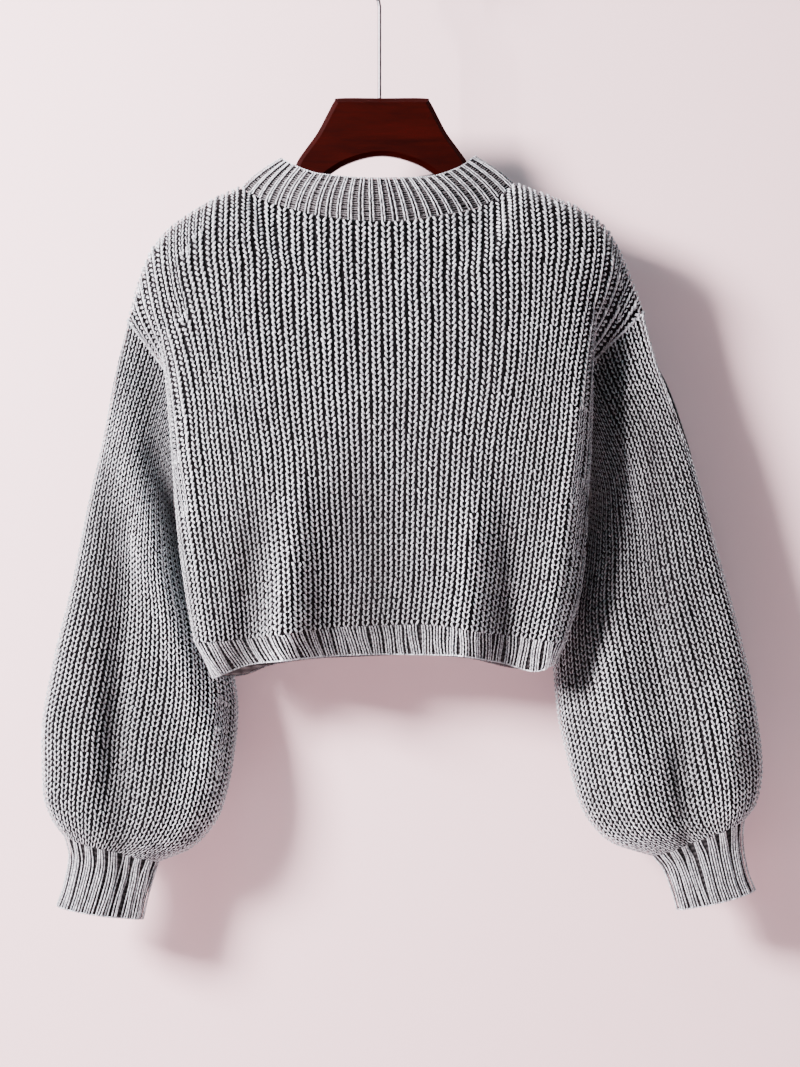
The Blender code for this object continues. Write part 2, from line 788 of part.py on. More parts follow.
def add_hems(grids, collection):
    """Each hem rib hangs from its panel's lower edge; the two meet at the side seams."""
    columns = 2 * HEM_RIBS
    shares = np.arange(columns + 1) / columns
    pieces = []
    for (_, panel_inner, panel_base), front in zip(grids, (True, False)):
        rims = line_at([panel_base[0], panel_inner[0]], shares)
        edge = hem_edge(front, shares)
        rows = [rims[0] * (1 - share) + edge * share for share in BAND_ROWS]
        base = np.array(rows)
        pieces.append((base, normals(base, False, front), rims))
    for edge in (0, -1):
        shared = unit(pieces[0][1][:, edge] + pieces[1][1][:, edge])
        pieces[0][1][:, edge] = pieces[1][1][:, edge] = shared
    for name, (base, normal, rims), flip in (
        ("front_hem_rib", pieces[0], True),
        ("back_hem_rib", pieces[1], False),
    ):
        outer = base + normal * ribs(columns + 1, FINE_RIB_RISE)[None, :, None]
        inner = base - normal * WALL
        outer[0], inner[0] = rims
        outer, inner = closed_up(outer, ("foot", "sides")), closed_up(inner, ("foot", "sides"))
        add_wall(name, outer, inner[:, ::2], False, flip, collection)


# ---------------------------------------------------------------- the hanger
def add_hanger_body(collection):
    half = np.array(HANGER_HALF, float)
    outline = np.concatenate([half, half[-2:0:-1] * (-1, 1)]) + (HANGER_X, 0)
    vertices = []
    for y in (HANGER_Y - HANGER_THICK / 2, HANGER_Y + HANGER_THICK / 2):
        vertices += [(x * MM, y * MM, z * MM) for x, z in outline]
    count = len(outline)
    faces = [tuple(range(count - 1, -1, -1)), tuple(range(count, 2 * count))]
    faces += [(i, (i + 1) % count, count + (i + 1) % count, count + i) for i in range(count)]
    mesh = bpy.data.meshes.new("hanger_body")
    mesh.from_pydata(vertices, [], faces)
    shape = bmesh.new()
    shape.from_mesh(mesh)
    bmesh.ops.recalc_face_normals(shape, faces=shape.faces)
    shape.to_mesh(mesh)
    shape.free()
    made = add_object("hanger_body", mesh, "wood", collection)
    bevel = made.modifiers.new("bevel", "BEVEL")
    bevel.width = HANGER_BEVEL * MM
    bevel.segments = 1
    bevel.limit_method = "ANGLE"
    bevel.angle_limit = math.radians(60)
    return made


def hook_route():
    """The wire from the top of the wood up the shank, sideways and over the rail."""
    radius = HOOK_INSIDE + WIRE / 2
    centre = -HOOK_INSIDE
    points = [(0, SHANK_FOOT), (0, SHANK_JOINT), (0, SHANK_TOP)]
    start = math.radians(HOOK_START_ANGLE)
    end = math.radians(HOOK_END_ANGLE)
    meet = (radius * math.cos(start), centre + radius * math.sin(start))
    for step in range(1, HOOK_LEAD_STEPS):
        t = step / HOOK_LEAD_STEPS
        points.append((meet[0] * ease(t), SHANK_TOP * (1 - t) + meet[1] * t))
    for step in range(HOOK_STEPS + 1):
        angle = start + (end - start) * step / HOOK_STEPS
        points.append((radius * math.cos(angle), centre + radius * math.sin(angle)))
    return points


def add_hanger_hook(collection):
    curve = bpy.data.curves.new("hanger_hook", "CURVE")
    curve.dimensions = "3D"
    curve.bevel_depth = WIRE / 2 * MM
    curve.bevel_resolution = 2
    curve.use_fill_caps = True
    route = hook_route()
    spline = curve.splines.new("POLY")
    spline.points.add(len(route) - 1)
    for point, (x, z) in zip(spline.points, route):
        point.co = (x * MM, HANGER_Y * MM, z * MM, 1)
    return add_object("hanger_hook", curve, "metal", collection)


def main():
    for old in list(bpy.data.objects):
        bpy.data.objects.remove(old, do_unlink=True)
    collection = bpy.data.collections.new("cropped_knit_sweater")
    bpy.context.scene.collection.children.link(collection)
    sleeves = (
        tube_surface(LEFT_SLEEVE, LEFT_SLEEVE_FOLDS, 0),
        tube_surface(RIGHT_SLEEVE, RIGHT_SLEEVE_FOLDS, PANEL_RIBS),
    )
    grids = panel_grids(sleeves)
    add_panels(grids, collection)
    add_sleeves(sleeves, grids, collection)
    add_neckband(grids, collection)
    add_hems(grids, collection)
    add_hanger_body(collection)
    add_hanger_hook(collection)


main()
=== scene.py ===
"""Looks of the cropped knit sweater on its hanger: a thin shell on each knitted piece's form,
covered with modelled stitches, and the finishes of the hanger and its wire.

Lengths are in millimetres and turn into metres when a mesh is made. The origin is the top of
the hook, X runs to the right as the front is looked at, the front faces -Y and Z is up.
"""

import math

import bmesh
import bpy
import mathutils
import numpy as np
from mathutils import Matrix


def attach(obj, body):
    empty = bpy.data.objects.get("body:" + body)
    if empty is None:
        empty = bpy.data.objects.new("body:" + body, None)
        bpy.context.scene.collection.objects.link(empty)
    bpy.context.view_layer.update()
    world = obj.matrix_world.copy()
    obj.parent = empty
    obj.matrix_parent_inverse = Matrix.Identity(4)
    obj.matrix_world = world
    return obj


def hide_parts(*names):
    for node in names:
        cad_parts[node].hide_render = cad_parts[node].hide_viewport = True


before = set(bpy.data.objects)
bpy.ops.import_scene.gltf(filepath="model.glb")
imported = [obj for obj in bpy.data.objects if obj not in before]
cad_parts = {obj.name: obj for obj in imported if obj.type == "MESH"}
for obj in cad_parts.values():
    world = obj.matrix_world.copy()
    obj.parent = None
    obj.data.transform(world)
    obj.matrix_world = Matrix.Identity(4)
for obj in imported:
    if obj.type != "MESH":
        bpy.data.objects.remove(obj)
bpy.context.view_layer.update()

MM = 0.001
# The least length that a vector is divided by, and how far before the end of a grid's rows or
# columns a place is held, so that it lies between two of them
TINY = 1e-9
PAST_LAST = 1.001

# Directions that a piece faces
TO_FRONT = (0, -1, 0)
TO_BACK = (0, 1, 0)

# Ribs across or round each piece
PANEL_RIBS = 46
SLEEVE_RIBS = 46
NECKBAND_RIBS = 56
HEM_RIBS = 32
CUFF_RIBS = 18

# How far up a panel its armhole starts, and its shoulder starts to round over, as shares
# of each rib's length. The neck lies between two ribs.
UNDERARM = 0.44
SHOULDER_ROUND = 0.84
NECK_START = 12
NECK_END = 34

# Ribs from the middle of a panel over which its top edge turns from neck into shoulder
SHOULDER_BLEND = (9.5, 12.5)

# Grid columns to a rib, and where the smooth surfaces are worked out: points of a section,
# ribs and shares up a panel, shares down and round a tube, and shares up an armhole
GRID_STEP = 4
SECTION_POINTS = 161
RIB_SAMPLES = np.linspace(0, PANEL_RIBS, GRID_STEP * PANEL_RIBS + 1)
UP_SAMPLES = np.linspace(0, SHOULDER_ROUND, 43)
DOWN_SAMPLES = np.linspace(0, 1, 61)
ROUND_SAMPLES = np.linspace(0, 1, 185)
ARMHOLE_SAMPLES = np.linspace(0, 1, 41)

# share up, x of the widest point, its y on the front, seam x, seam y on the front,
# seam y on the back, y of the back's widest point
LEFT_SIDE = (
    (0.00, -166, -6, -163, 3, 3, 12),
    (0.15, -174, -9, -171, 6, 6, 16),
    (0.30, -180, -12, -176, 9, 9, 20),
    (UNDERARM, -184, -14, -180, 12, 12, 24),
    (0.58, -187, -16, -182, 5, 21, 32),
    (0.72, -190, -16, -186, 4, 24, 34),
    (SHOULDER_ROUND, -195, -14, -192, 4, 22, 31),
)
RIGHT_SIDE = (
    (0.00, 167, -6, 164, 3, 3, 12),
    (0.15, 181, -10, 177, 6, 6, 16),
    (0.30, 186, -14, 181, 9, 9, 20),
    (UNDERARM, 188, -17, 183, 13, 13, 24),
    (0.58, 190, -19, 184, 7, 22, 32),
    (0.72, 191, -19, 185, 6, 25, 34),
    (SHOULDER_ROUND, 193, -17, 188, 6, 22, 31),
)
# share up, how far the front and the back bulge past their sides
BULGE = (
    (0.00, 22, 22),
    (0.30, 33, 26),
    (0.60, 37, 22),
    (SHOULDER_ROUND, 34, 18),
)
# How squarely a bulge turns over at its sides
BULGE_POWER = 2.3

# rib, x, z, y of the shoulder seams, and of the front's neck edge
LEFT_SHOULDER = (
    (0, -227, -351, 4),
    (1, -224, -338, 4),
    (2.2, -217, -315, 4),
    (3.3, -210, -298, 4),
    (4.1, -205, -287, 4),
    (5.3, -193, -271, 4),
    (7, -174, -256, 4),
    (9.3, -148, -241, 4),
    (NECK_START, -125, -230, 4),
)
FRONT_NECK = (
    (NECK_START, -125, -230, 4),
    (13.9, -105, -244, -10),
    (15.7, -84, -252, -21),
    (18, -57, -260, -31),
    (20.4, -29, -265, -38),
    (22.7, -3, -267, -40),
    (24.8, 21, -266, -39),
    (26.5, 40, -263, -36),
    (28.3, 61, -259, -31),
    (30.8, 90, -251, -18),
    (32.6, 109, -239, -7),
    (NECK_END, 123, -227, 4),
)
RIGHT_SHOULDER = (
    (NECK_END, 123, -227, 4),
    (35.9, 139, -234, 4),
    (38.7, 170, -245, 4),
    (40.8, 192, -257, 4),
    (42.3, 207, -272, 4),
    (43.4, 218, -291, 4),
    (44.5, 227, -313, 4),
    (45.3, 234, -331, 4),
    (46, 238, -344, 4),
)
# rib, z, y of the back's neck edge, which has the front's x
BACK_NECK = (
    (NECK_START, -230, 4),
    (13.9, -240, 19),
    (15.7, -246, 30),
    (18.5, -252, 41),
    (23, -256, 47),
    (27.5, -252, 41),
    (30.8, -245, 27),
    (32.6, -237, 17),
    (NECK_END, -227, 4),
)
# x, z of the seam between panel and hem rib, and of the rib's edge on each panel
HEM_SEAM = (
    (-166, -641),
    (-116, -637),
    (-66, -630),
    (-24, -626),
    (41, -624),
    (99, -632),
    (167, -641),
)
FRONT_HEM = (
    (-150, -673),
    (-113, -660),
    (-65, -654),
    (10, -651),
    (64, -651),
    (110, -659),
    (139, -666),
    (161, -658),
)
BACK_HEM = (
    (-150, -673),
    (-124, -671),
    (-99, -662),
    (-40, -655),
    (20, -653),
    (80, -656),
    (130, -665),
    (161, -658),
)
# x, y of the hem's ends, how far its edge bulges in front and behind, how far out its folds
# lie for each millimetre at the seam, and the share at each end over which its ribs even out
HEM_LEFT = (-150, 1)
HEM_RIGHT = (161, 1)
HEM_BULGE = (25, 24)
HEM_FOLD_SPREAD = 0.95
HEM_TURN = 0.08

# x at the hem, x at the fold's top end, share up where it ends, depth inwards, half width
FRONT_FOLDS = (
    (-117, -122, 0.26, 4, 13),
    (-84, -79, 0.52, -5, 15),
    (-42, -30, 0.48, 9, 19),
    (8, 4, 0.36, 4, 16),
    (66, 70, 0.42, -5, 16),
    (111, 114, 0.36, 7, 14),
    (148, 150, 0.30, -4, 12),
)
BACK_FOLDS = (
    (-108, -112, 0.40, 6, 15),
    (-58, -50, 0.34, -4, 16),
    (-6, -12, 0.52, 8, 19),
    (52, 58, 0.38, -5, 16),
    (104, 112, 0.46, 7, 15),
)

# share down, outer x, z, y, inner x, z, y, half depth in front and behind
LEFT_SLEEVE = (
    (0.00, -227, -351, 4, -180, -514, 12, 20, 16),
    (0.10, -239, -402, 4, -184, -521, 18, 24, 18),
    (0.20, -249, -456, 5, -182, -536, 33, 28, 22),
    (0.32, -262, -514, 6, -168, -580, 52, 32, 26),
    (0.50, -279, -596, 8, -143, -644, 58, 37, 30),
    (0.65, -295, -662, 10, -131, -705, 50, 39, 32),
    (0.80, -305, -727, 12, -135, -752, 40, 39, 33),
    (0.90, -304, -776, 12, -145, -795, 31, 36, 31),
    (0.96, -296, -801, 11, -170, -828, 27, 33, 27),
    (1.00, -285, -816, 10, -200, -840, 20, 25, 20),
)
RIGHT_SLEEVE = (
    (0.00, 238, -344, 4, 183, -510, 13, 20, 16),
    (0.10, 249, -385, 4, 188, -517, 17, 25, 18),
    (0.20, 265, -428, 6, 187, -535, 33, 29, 22),
    (0.32, 283, -481, 8, 174, -580, 52, 33, 26),
    (0.50, 306, -563, 10, 160, -648, 56, 38, 30),
    (0.65, 326, -636, 12, 163, -702, 46, 40, 32),
    (0.80, 341, -706, 14, 172, -748, 38, 40, 33),
    (0.90, 346, -757, 14, 183, -790, 30, 36, 31),
    (0.96, 341, -786, 13, 209, -823, 26, 33, 27),
    (1.00, 330, -801, 12, 247, -835, 20, 25, 20),
)
# place across from the inner side, depth inwards, half width, share down where it starts and
# ends; the first row of each pair of tables is on the front, the second on the back
LEFT_SLEEVE_FOLDS = (
    ((0.34, -5, 0.12, 0.15, 0.99), (0.62, 9, 0.08, 0.25, 0.99)),
    ((0.40, 6, 0.10, 0.20, 0.9), (0.68, -4, 0.10, 0.30, 0.99)),
)
RIGHT_SLEEVE_FOLDS = (
    ((0.28, -4, 0.12, 0.30, 0.99), (0.53, 8, 0.08, 0.10, 0.99), (0.72, -5, 0.10, 0.40, 0.99)),
    ((0.45, 6, 0.10, 0.20, 0.9), (0.70, -4, 0.10, 0.30, 0.99)),
)
# Share down over which a fold sets in and ends; and over which the armhole's shape fades
# into the sleeve's, with the power of that fade
FOLD_FADE = 0.15
SLEEVE_HEAD = 0.45
SLEEVE_HEAD_POWER = 1.5

# The same columns; each cuff starts where its sleeve ends
LEFT_CUFF = (
    (0.0, *LEFT_SLEEVE[-1][1:]),
    (0.3, -281, -834, 12, -204, -853, 18, 22, 19),
    (0.7, -286, -862, 12, -210, -874, 18, 23, 20),
    (1.0, -292, -879, 12, -214, -892, 18, 24, 21),
)
RIGHT_CUFF = (
    (0.0, *RIGHT_SLEEVE[-1][1:]),
    (0.3, 329, -819, 14, 256, -846, 20, 22, 19),
    (0.7, 333, -847, 14, 265, -867, 20, 23, 20),
    (1.0, 340, -865, 14, 270, -884, 20, 24, 21),
)

# share round from left to right, x, z, y of the neckband's top edge
BAND_TOP_FRONT = (
    (0, -89, -204, 5),
    (0.12, -77, -212.5, -9),
    (0.26, -51, -223, -25),
    (0.5, -3, -228, -36),
    (0.74, 42, -226, -29),
    (0.88, 70, -216, -15),
    (1, 87, -202, 5),
)
BAND_TOP_BACK = (
    (0, -89, -204, 5),
    (0.12, -78, -209, 25),
    (0.26, -53, -215, 37),
    (0.5, -3, -219, 44),
    (0.74, 45, -215, 37),
    (0.88, 71, -209, 25),
    (1, 87, -202, 5),
)
# How far the band bows out halfway up
BAND_SWELL = 3

# Hanger: its board's thickness, the width and depth of its chamfers, the degrees from which an
# edge stays sharp, the steps between two points of its outline, the place of its middle, and
# the outline of its right half, from the top centre round to the arch's centre
HANGER_THICK = 12
HANGER_CHAMFER = 4.2
HANGER_CHAMFER_DEPTH = 3.4
HANGER_SHARP_ANGLE = 25
HANGER_OUTLINE_STEPS = 6
HANGER_X = 2.2
HANGER_Y = 3
HANGER_HALF = (
    (0, -151),
    (38, -151),
    (43, -154),
    (49, -165),
    (58, -182),
    (68, -196),
    (75, -206),
    (81, -218),
    (88, -228),
    (99, -234),
    (118, -241.2),
    (145, -249.2),
    (170, -259.2),
    (183, -268.2),
    (186, -276),
    (183, -282),
    (175, -282.5),
    (145, -269.5),
    (112, -258),
    (84, -246),
    (58, -227.5),
    (32, -210.5),
    (0, -203),
)

# Creases, each as rows of z, x, how far it stands out and its half width
FRONT_CREASES = (
    ((-450, -70, 0, 11), (-530, -75, 7, 12), (-600, -80, 11, 13), (-665, -87, 11, 13)),
    ((-490, -108, 0, 13), (-560, -114, -10, 16), (-665, -122, -10, 16)),
    ((-430, -18, 0, 26), (-520, -15, -10, 38), (-665, -13, -11, 40)),
    ((-480, 84, 0, 11), (-550, 80, 9, 13), (-665, 77, 12, 14)),
    ((-490, 114, 0, 12), (-560, 116, -7, 12), (-665, 114, -8, 12)),
    ((-350, -184, 0, 8), (-420, -173, 4, 8), (-560, -162, 4, 9), (-665, -150, 5, 9)),
    ((-380, 178, 0, 8), (-450, 171, 5, 10), (-560, 160, 8, 12), (-665, 149, 8, 12)),
    ((-350, -206, 0, 10), (-400, -206, -8, 17), (-470, -202, -9, 17), (-540, -188, -9, 10),
     (-620, -172, -6, 10), (-680, -150, 0, 10)),
    ((-400, -232, 0, 10), (-460, -226, 7, 14), (-560, -207, 11, 17), (-650, -176, 11, 17),
     (-740, -158, 9, 16), (-800, -170, 7, 13), (-850, -200, 0, 10)),
    ((-470, -244, 0, 12), (-540, -243, -8, 15), (-700, -240, -10, 18), (-800, -234, -9, 16),
     (-870, -230, -4, 10)),
    ((-430, 248, 0, 8), (-480, 251, -4, 9), (-600, 250, -4, 10), (-660, 250, 0, 10)),
    ((-340, 206, 0, 9), (-390, 207, -13, 14), (-600, 198, -15, 17), (-680, 184, -6, 13),
     (-700, 180, 0, 12)),
    ((-380, 240, 0, 34), (-440, 248, -6, 44), (-600, 260, -7.5, 54), (-690, 262, -4, 46),
     (-740, 262, 0, 40)),
    ((-226, -115, 0, 12), (-242, -113, 2, 13), (-264, -108, 2, 13), (-300, -104, 0, 12)),
    ((-226, 113, 0, 12), (-242, 111, 1, 13), (-264, 106, 1, 13), (-300, 102, 0, 12)),
    ((-640, 304, 0, 12), (-700, 308, 7, 13), (-780, 314, 8, 13), (-830, 312, 0, 10)),
    ((-690, 272, 0, 10), (-740, 272, -9, 12), (-800, 274, -9, 11), (-850, 284, -3, 8)),
    ((-620, 207, 0, 12), (-690, 209, 6, 13), (-770, 228, 7, 13), (-830, 246, 0, 10)),
)
BACK_CREASES = (
    ((-440, 60, 0, 12), (-540, 62, 6, 13), (-665, 74, 8, 13)),
    ((-480, -30, 0, 20), (-570, -34, -7, 24), (-665, -30, -8, 24)),
    ((-500, -96, 0, 12), (-580, -98, 6, 12), (-665, -90, 7, 12)),
    ((-490, 112, 0, 12), (-560, 116, -6, 13), (-665, 118, -7, 13)),
    ((-420, -236, 0, 12), (-520, -240, -7, 14), (-700, -236, -8, 15), (-850, -228, -2, 10)),
    ((-480, -200, 0, 12), (-600, -186, 7, 14), (-760, -172, 8, 14), (-840, -190, 0, 10)),
    ((-420, 252, 0, 12), (-520, 258, -7, 12), (-700, 262, -8, 14), (-850, 290, -2, 10)),
    ((-560, 296, 0, 12), (-680, 306, 7, 14), (-790, 312, 7, 13), (-830, 312, 0, 10)),
)
# The rise at which the painted light on a crease's ridge is palest, and the painted shade in its
# trough deepest
FOLD_FULL = 9
# How squarely cloth faces the front or the back where a crease sets in and is whole
CREASE_FACING = (0.15, 0.6)

# Rows of each piece's grid
PANEL_GRID_ROWS = 161
SLEEVE_GRID_ROWS = 161
CUFF_GRID_ROWS = 33
HEM_GRID_ROWS = 13
BAND_GRID_ROWS = 25

# Shells: how deep under the surface their outside and inside lie, their points to a rib, their
# rows, and how near to each other two points become one
SHELL_OUTSIDE = 2.1
SHELL_INSIDE = 3.0
SHELL_PER_RIB = 2
PANEL_SHELL_ROWS = 41
SLEEVE_SHELL_ROWS = 41
CUFF_SHELL_ROWS = 9
HEM_SHELL_ROWS = 5
BAND_SHELL_ROWS = 7
WELD = 0.01

# A stitch: its length, and for each ring up one of its legs the share of that length, the
# place from the middle of the column, the height of the yarn's middle and the yarn's radius;
# place and radius are shares of the column's width
STITCH = 4.9
LEG = (
    (-0.02, 0.100, -0.5, 0.082),
    (0.30, 0.205, 0.7, 0.103),
    (0.66, 0.288, 0.7, 0.104),
    (0.98, 0.292, -1.1, 0.080),
)
# How many ribs a panel's columns stray outwards from evenly spaced ones: share up, ribs at
# the neck's corner, near the side and at the side; and the ribs from the middle to those places
COLUMN_STRAY = (
    (0.00, 1.1, 0.7, 0.7),
    (0.10, 0.7, 0.2, 0.2),
    (0.20, 0.4, -0.2, -0.2),
    (0.40, 0.2, -0.4, -0.4),
    (0.60, 1.2, 0.4, 0.2),
    (0.76, 1.6, 1.4, 0.5),
    (SHOULDER_ROUND, 1.6, 2.0, 0.5),
    (0.92, 0.9, 1.5, 0.3),
    (1.00, 0.0, 0.6, 0.0),
)
STRAY_AT = (0, 11, 17, 23)
# The width of a rib above which two columns share it, and the grid rows to each side over
# which that width is averaged
SPLIT_RIB = 12.8
SPLIT_REACH = 6
SPLIT_WEIGHTS = np.full(2 * SPLIT_REACH + 1, 1 / (2 * SPLIT_REACH + 1))
# Points over a strand, half the angle that they span, and the width of a column above which
# its yarn gets no thicker
LEG_POINTS = 4
HALF_ROUND = math.radians(95)
WIDEST_RIB = 13.6
# How unevenly stitches are spaced, swell and lean, and how far and how fast a column sways
STITCH_JITTER = 0.04
LOOP_JITTER = 0.06
LEAN_JITTER = 0.008
COLUMN_SWAY = 0.02
SWAY_LENGTH = 14.0
# How far the yarn's pattern shifts from one strand to the next
STRAND_UV_STEP = 3.7
# Seeds of the uneven stitches, and of all the fine ribs
STITCH_SEEDS = {"front_panel": 0, "back_panel": 1, "left_sleeve": 10, "right_sleeve": 56}
FINE_RIB_SEED = 5

# Fine ribs: the place within the rib and the height of each wale
HEM_WALES = ((0.14, -0.5), (0.36, 0.5), (0.58, 0.5), (0.80, -0.5))
CUFF_WALES = ((0.12, -0.6), (0.35, 0.6), (0.58, 0.7), (0.81, -0.6))
BAND_WALES = ((0.25, 0.4), (0.54, 0.4))
WALE_RADIUS = 0.66
WALE_RINGS = 17
WALE_POINTS = 5
# How far a wale sways, in ribs, over which length, and how unevenly it lies across and in
# height
WALE_SWAY = 0.02
WALE_WAVE = 4.0
WALE_JITTER = 0.025
WALE_LIFT = 0.2
# How far a rib's wales bend together, in ribs, and the share by which they draw close at the
# gathered end of a piece, over which share of its length; and the bend's radians from end to
# end
HEM_BEND = (0.05, 0.0, 0.3)
CUFF_BEND = (0.05, 0.28, 0.4)
BAND_BEND = (0.02, 0.0, 0.3)
BEND_TURNS = 4.2
# Spacing, radius and height of the bars in the recess between the wales, how far their ends
# sag, and how unevenly they are spaced and tilt
BAND_BARS = (2.1, 0.5, -1.4)
BAR_SAG = 0.4
BAR_RINGS = 4
BAR_POINTS = 4
BAR_JITTER = 0.12
BAR_TILT = 0.4
# Beaded edges and seams: radius, height, how much the beads swell, and the share at each end
# over which a seam thins out, to which share of its thickness
EDGE_ROLL = (0.6, -0.5, 0.3)
SEAM_ROLL = (1.2, -0.2, 0.34, 0.12)
ROLL_TIP = 0.15
ROLL_RINGS = 6
ROLL_POINTS = 6

# Places of a Mix node's sockets when it mixes colours
MIX_SHARE = 0
MIX_A = 6
MIX_B = 7
MIX_RESULT = 2

# Noises as scale, detail and roughness
FIBRE_NOISE = (1500, 3, 0.7)
CLUMP_NOISE = (430, 3, 0.75)
PATCH_NOISE = (16, 3, 0.6)
RUNG_NOISE = (700, 2, 0.6)
GRAIN_NOISE = (2.0, 6, 0.6)
FINE_GRAIN_NOISE = (9.0, 4, 0.7)
DRAW_MARK_NOISE = (900, 2, 0.5)
STAGE_NOISE = (1.2, 2, 0.5)
# How the wood's noises are stretched along its grain
GRAIN_STRETCH = (6, 60, 60)
# The parts of each value's range over which a look changes
WHOLE_WAVE = (-1, 1)
CLUMP_RANGE = (0.42, 0.58)
PATCH_RANGE = (0.35, 0.65)
YARN_RANGE = (0.2, 0.8)
RUNG_RANGE = (0.2, 1.0)
GRAIN_RANGE = (0.35, 0.65)
DRAW_MARK_RANGE = (-1.0, 4.0)
STAGE_RANGE = (0.3, 0.7)
# The weights with which two values are added
CLUMPS_AND_PLIES = (0.7, 0.3)
YARN_AND_PATCHES = (0.85, 0.15)
RUNG_AND_WOBBLE = (0.7, 0.5)
GRAIN_AND_FINE = (0.7, 0.3)
# Bumps as distance, in metres, and strength
PLY_BUMP = (0.0004, 0.7)
CLUMP_BUMP = (0.0007, 0.6)
FIBRE_BUMP = (0.0004, 0.6)
RUNG_BUMP = (0.0012, 0.8)
GRAIN_BUMP = (0.0001, 0.25)
# The half width of a strand's top, which the painted shade on its sides doesn't reach, and its
# plies' turns for each millimetre
STRAND_TOP = 0.22
TWIST_TURNS = 0.5

# Colours
YARN_LIGHT = (0.82, 0.90, 0.96, 1)
YARN_DARK = (0.222, 0.246, 0.266, 1)
# Painted shade on the sides of each strand
STRAND_SIDE_PAINTED_SHADE = (0.016, 0.016, 0.019, 1)
# Painted shade in the creases' troughs and painted light on their ridges, multiplied into the
# yarn's colour
TROUGH_PAINTED_SHADE = (0.34, 0.34, 0.34, 1)
RIDGE_PAINTED_LIGHT = (1.28, 1.28, 1.28, 1)
# Painted shade: a darker copy of the yarn for the bars down in the neckband's recess
BAR_PAINTED_SHADE_PALE = (0.17, 0.17, 0.18, 1)
BAR_PAINTED_SHADE_DEEP = (0.07, 0.07, 0.075, 1)
SHEEN_TINT = (0.9, 0.88, 0.9, 1)
# Painted shade: near-black colours of the shell that shows between the stitches and between the
# wales
RECESS_PAINTED_SHADE_PALE = (0.010, 0.0095, 0.011, 1)
RECESS_PAINTED_SHADE_DEEP = (0.003, 0.003, 0.0035, 1)
FINE_RECESS_PAINTED_SHADE_PALE = (0.03, 0.03, 0.032, 1)
# Painted shade: the darkened colour of the pieces' insides
INSIDE_PAINTED_SHADE_PALE = (0.20, 0.19, 0.195, 1)
INSIDE_PAINTED_SHADE_DEEP = (0.07, 0.065, 0.068, 1)
WOOD_LIGHT = (0.014, 0.0008, 0.0004, 1)
WOOD_DARK = (0.006, 0.0004, 0.0002, 1)
WIRE_LIGHT = (0.035, 0.035, 0.038, 1)
WIRE_DARK = (0.02, 0.02, 0.022, 1)
FLOOR_COLOUR = (0.90, 0.76, 0.77, 1)
WALL_COLOUR = (0.65, 0.497, 0.516, 1)
# How much paler the stage's cloudy places are
STAGE_CLOUDING = 1.03

# Stage, camera and light, in metres; the lens and the sensor in millimetres
STAGE_HALF = 6.0
STAGE_TOP = 4.0
STAGE_FLOOR = -1.6
STAGE_WALL = 0.085
CAMERA_X = 0.01845
CAMERA_Z = -0.5429
CAMERA_DISTANCE = 2.2
CAMERA_REACH = 50
LENS = 110
SENSOR = 36
# name, place, what it is aimed at, size, power, colour; and their spread in degrees
LIGHTS = (
    ("key", (-2.1, -1.75, 0.55), (-0.3, 0.0, -0.3), (0.75, 0.75), 240, (1.0, 0.83, 0.845)),
    ("fill", (-0.4, -2.4, 2.2), (0.0, 0.0, -0.5), (1.2, 1.2), 8, (0.60, 0.94, 1.0)),
    ("wash", (-1.3, -0.9, 0.2), (-0.4, 0.08, -0.4), (0.9, 0.9), 11, (0.60, 0.94, 1.0)),
    ("back", (0.9, 2.4, 0.5), (0.0, 0.0, -0.45), (1.2, 1.2), 55, (0.92, 0.96, 1.0)),
)
LIGHT_SPREAD = 110
WORLD_COLOUR = (0.80, 0.95, 1.0, 1)
WORLD_STRENGTH = 0.2


# ---------------------------------------------------------------- tables and small helpers
def smooth(table, at):
    """The rows of a table, keyed by its first column, joined by a smooth curve that never
    overshoots them."""
    table = np.asarray(table, float)
    keys, rows = table[:, 0], table[:, 1:]
    at = np.clip(np.asarray(at, float), keys[0], keys[-1])
    step = np.diff(keys)[:, None]
    slope = np.diff(rows, axis=0) / step
    tangent = np.zeros_like(rows)
    tangent[0] = slope[0]
    tangent[-1] = slope[-1]
    before, after = slope[:-1], slope[1:]
    same_way = before * after > 0
    total = np.where(same_way, before + after, 1)
    tangent[1:-1] = np.where(same_way, 2 * before * after / total, 0)
    index = np.clip(np.searchsorted(keys, at, side="right") - 1, 0, len(keys) - 2)
    width = step[index]
    t = ((at - keys[index]) / width[..., 0])[..., None]
    return (
        (1 + 2 * t) * (1 - t) ** 2 * rows[index]
        + t * (1 - t) ** 2 * width * tangent[index]
        + t * t * (3 - 2 * t) * rows[index + 1]
        + t * t * (t - 1) * width * tangent[index + 1]
    )


def ease(t):
    """0 to 1 with level ends."""
    t = np.clip(t, 0, 1)
    return t * t * (3 - 2 * t)


def run_along(points):
    """How far along its line each point lies, for one line or a stack of them."""
    steps = np.linalg.norm(np.diff(points, axis=-2), axis=-1)
    start = np.zeros(steps.shape[:-1] + (1,))
    return np.concatenate([start, np.cumsum(steps, axis=-1)], axis=-1)


def along(points, shares):
    """Points at the given shares of a line's length."""
    length = run_along(points)
    return np.stack([np.interp(shares * length[-1], length, axis) for axis in points.T], axis=-1)


def between(grid, row, column):
    """Points of a grid at fractions of its rows and columns."""
    row = np.clip(row, 0, len(grid) - PAST_LAST)
    column = np.clip(column, 0, grid.shape[1] - PAST_LAST)
    r, c = row.astype(int), column.astype(int)
    a, b = (row - r)[..., None], (column - c)[..., None]
    low = grid[r, c] * (1 - b) + grid[r, c + 1] * b
    high = grid[r + 1, c] * (1 - b) + grid[r + 1, c + 1] * b
    return low * (1 - a) + high * a


def unit(vectors):
    """The vectors at a length of one."""
    return vectors / np.maximum(np.linalg.norm(vectors, axis=-1, keepdims=True), TINY)


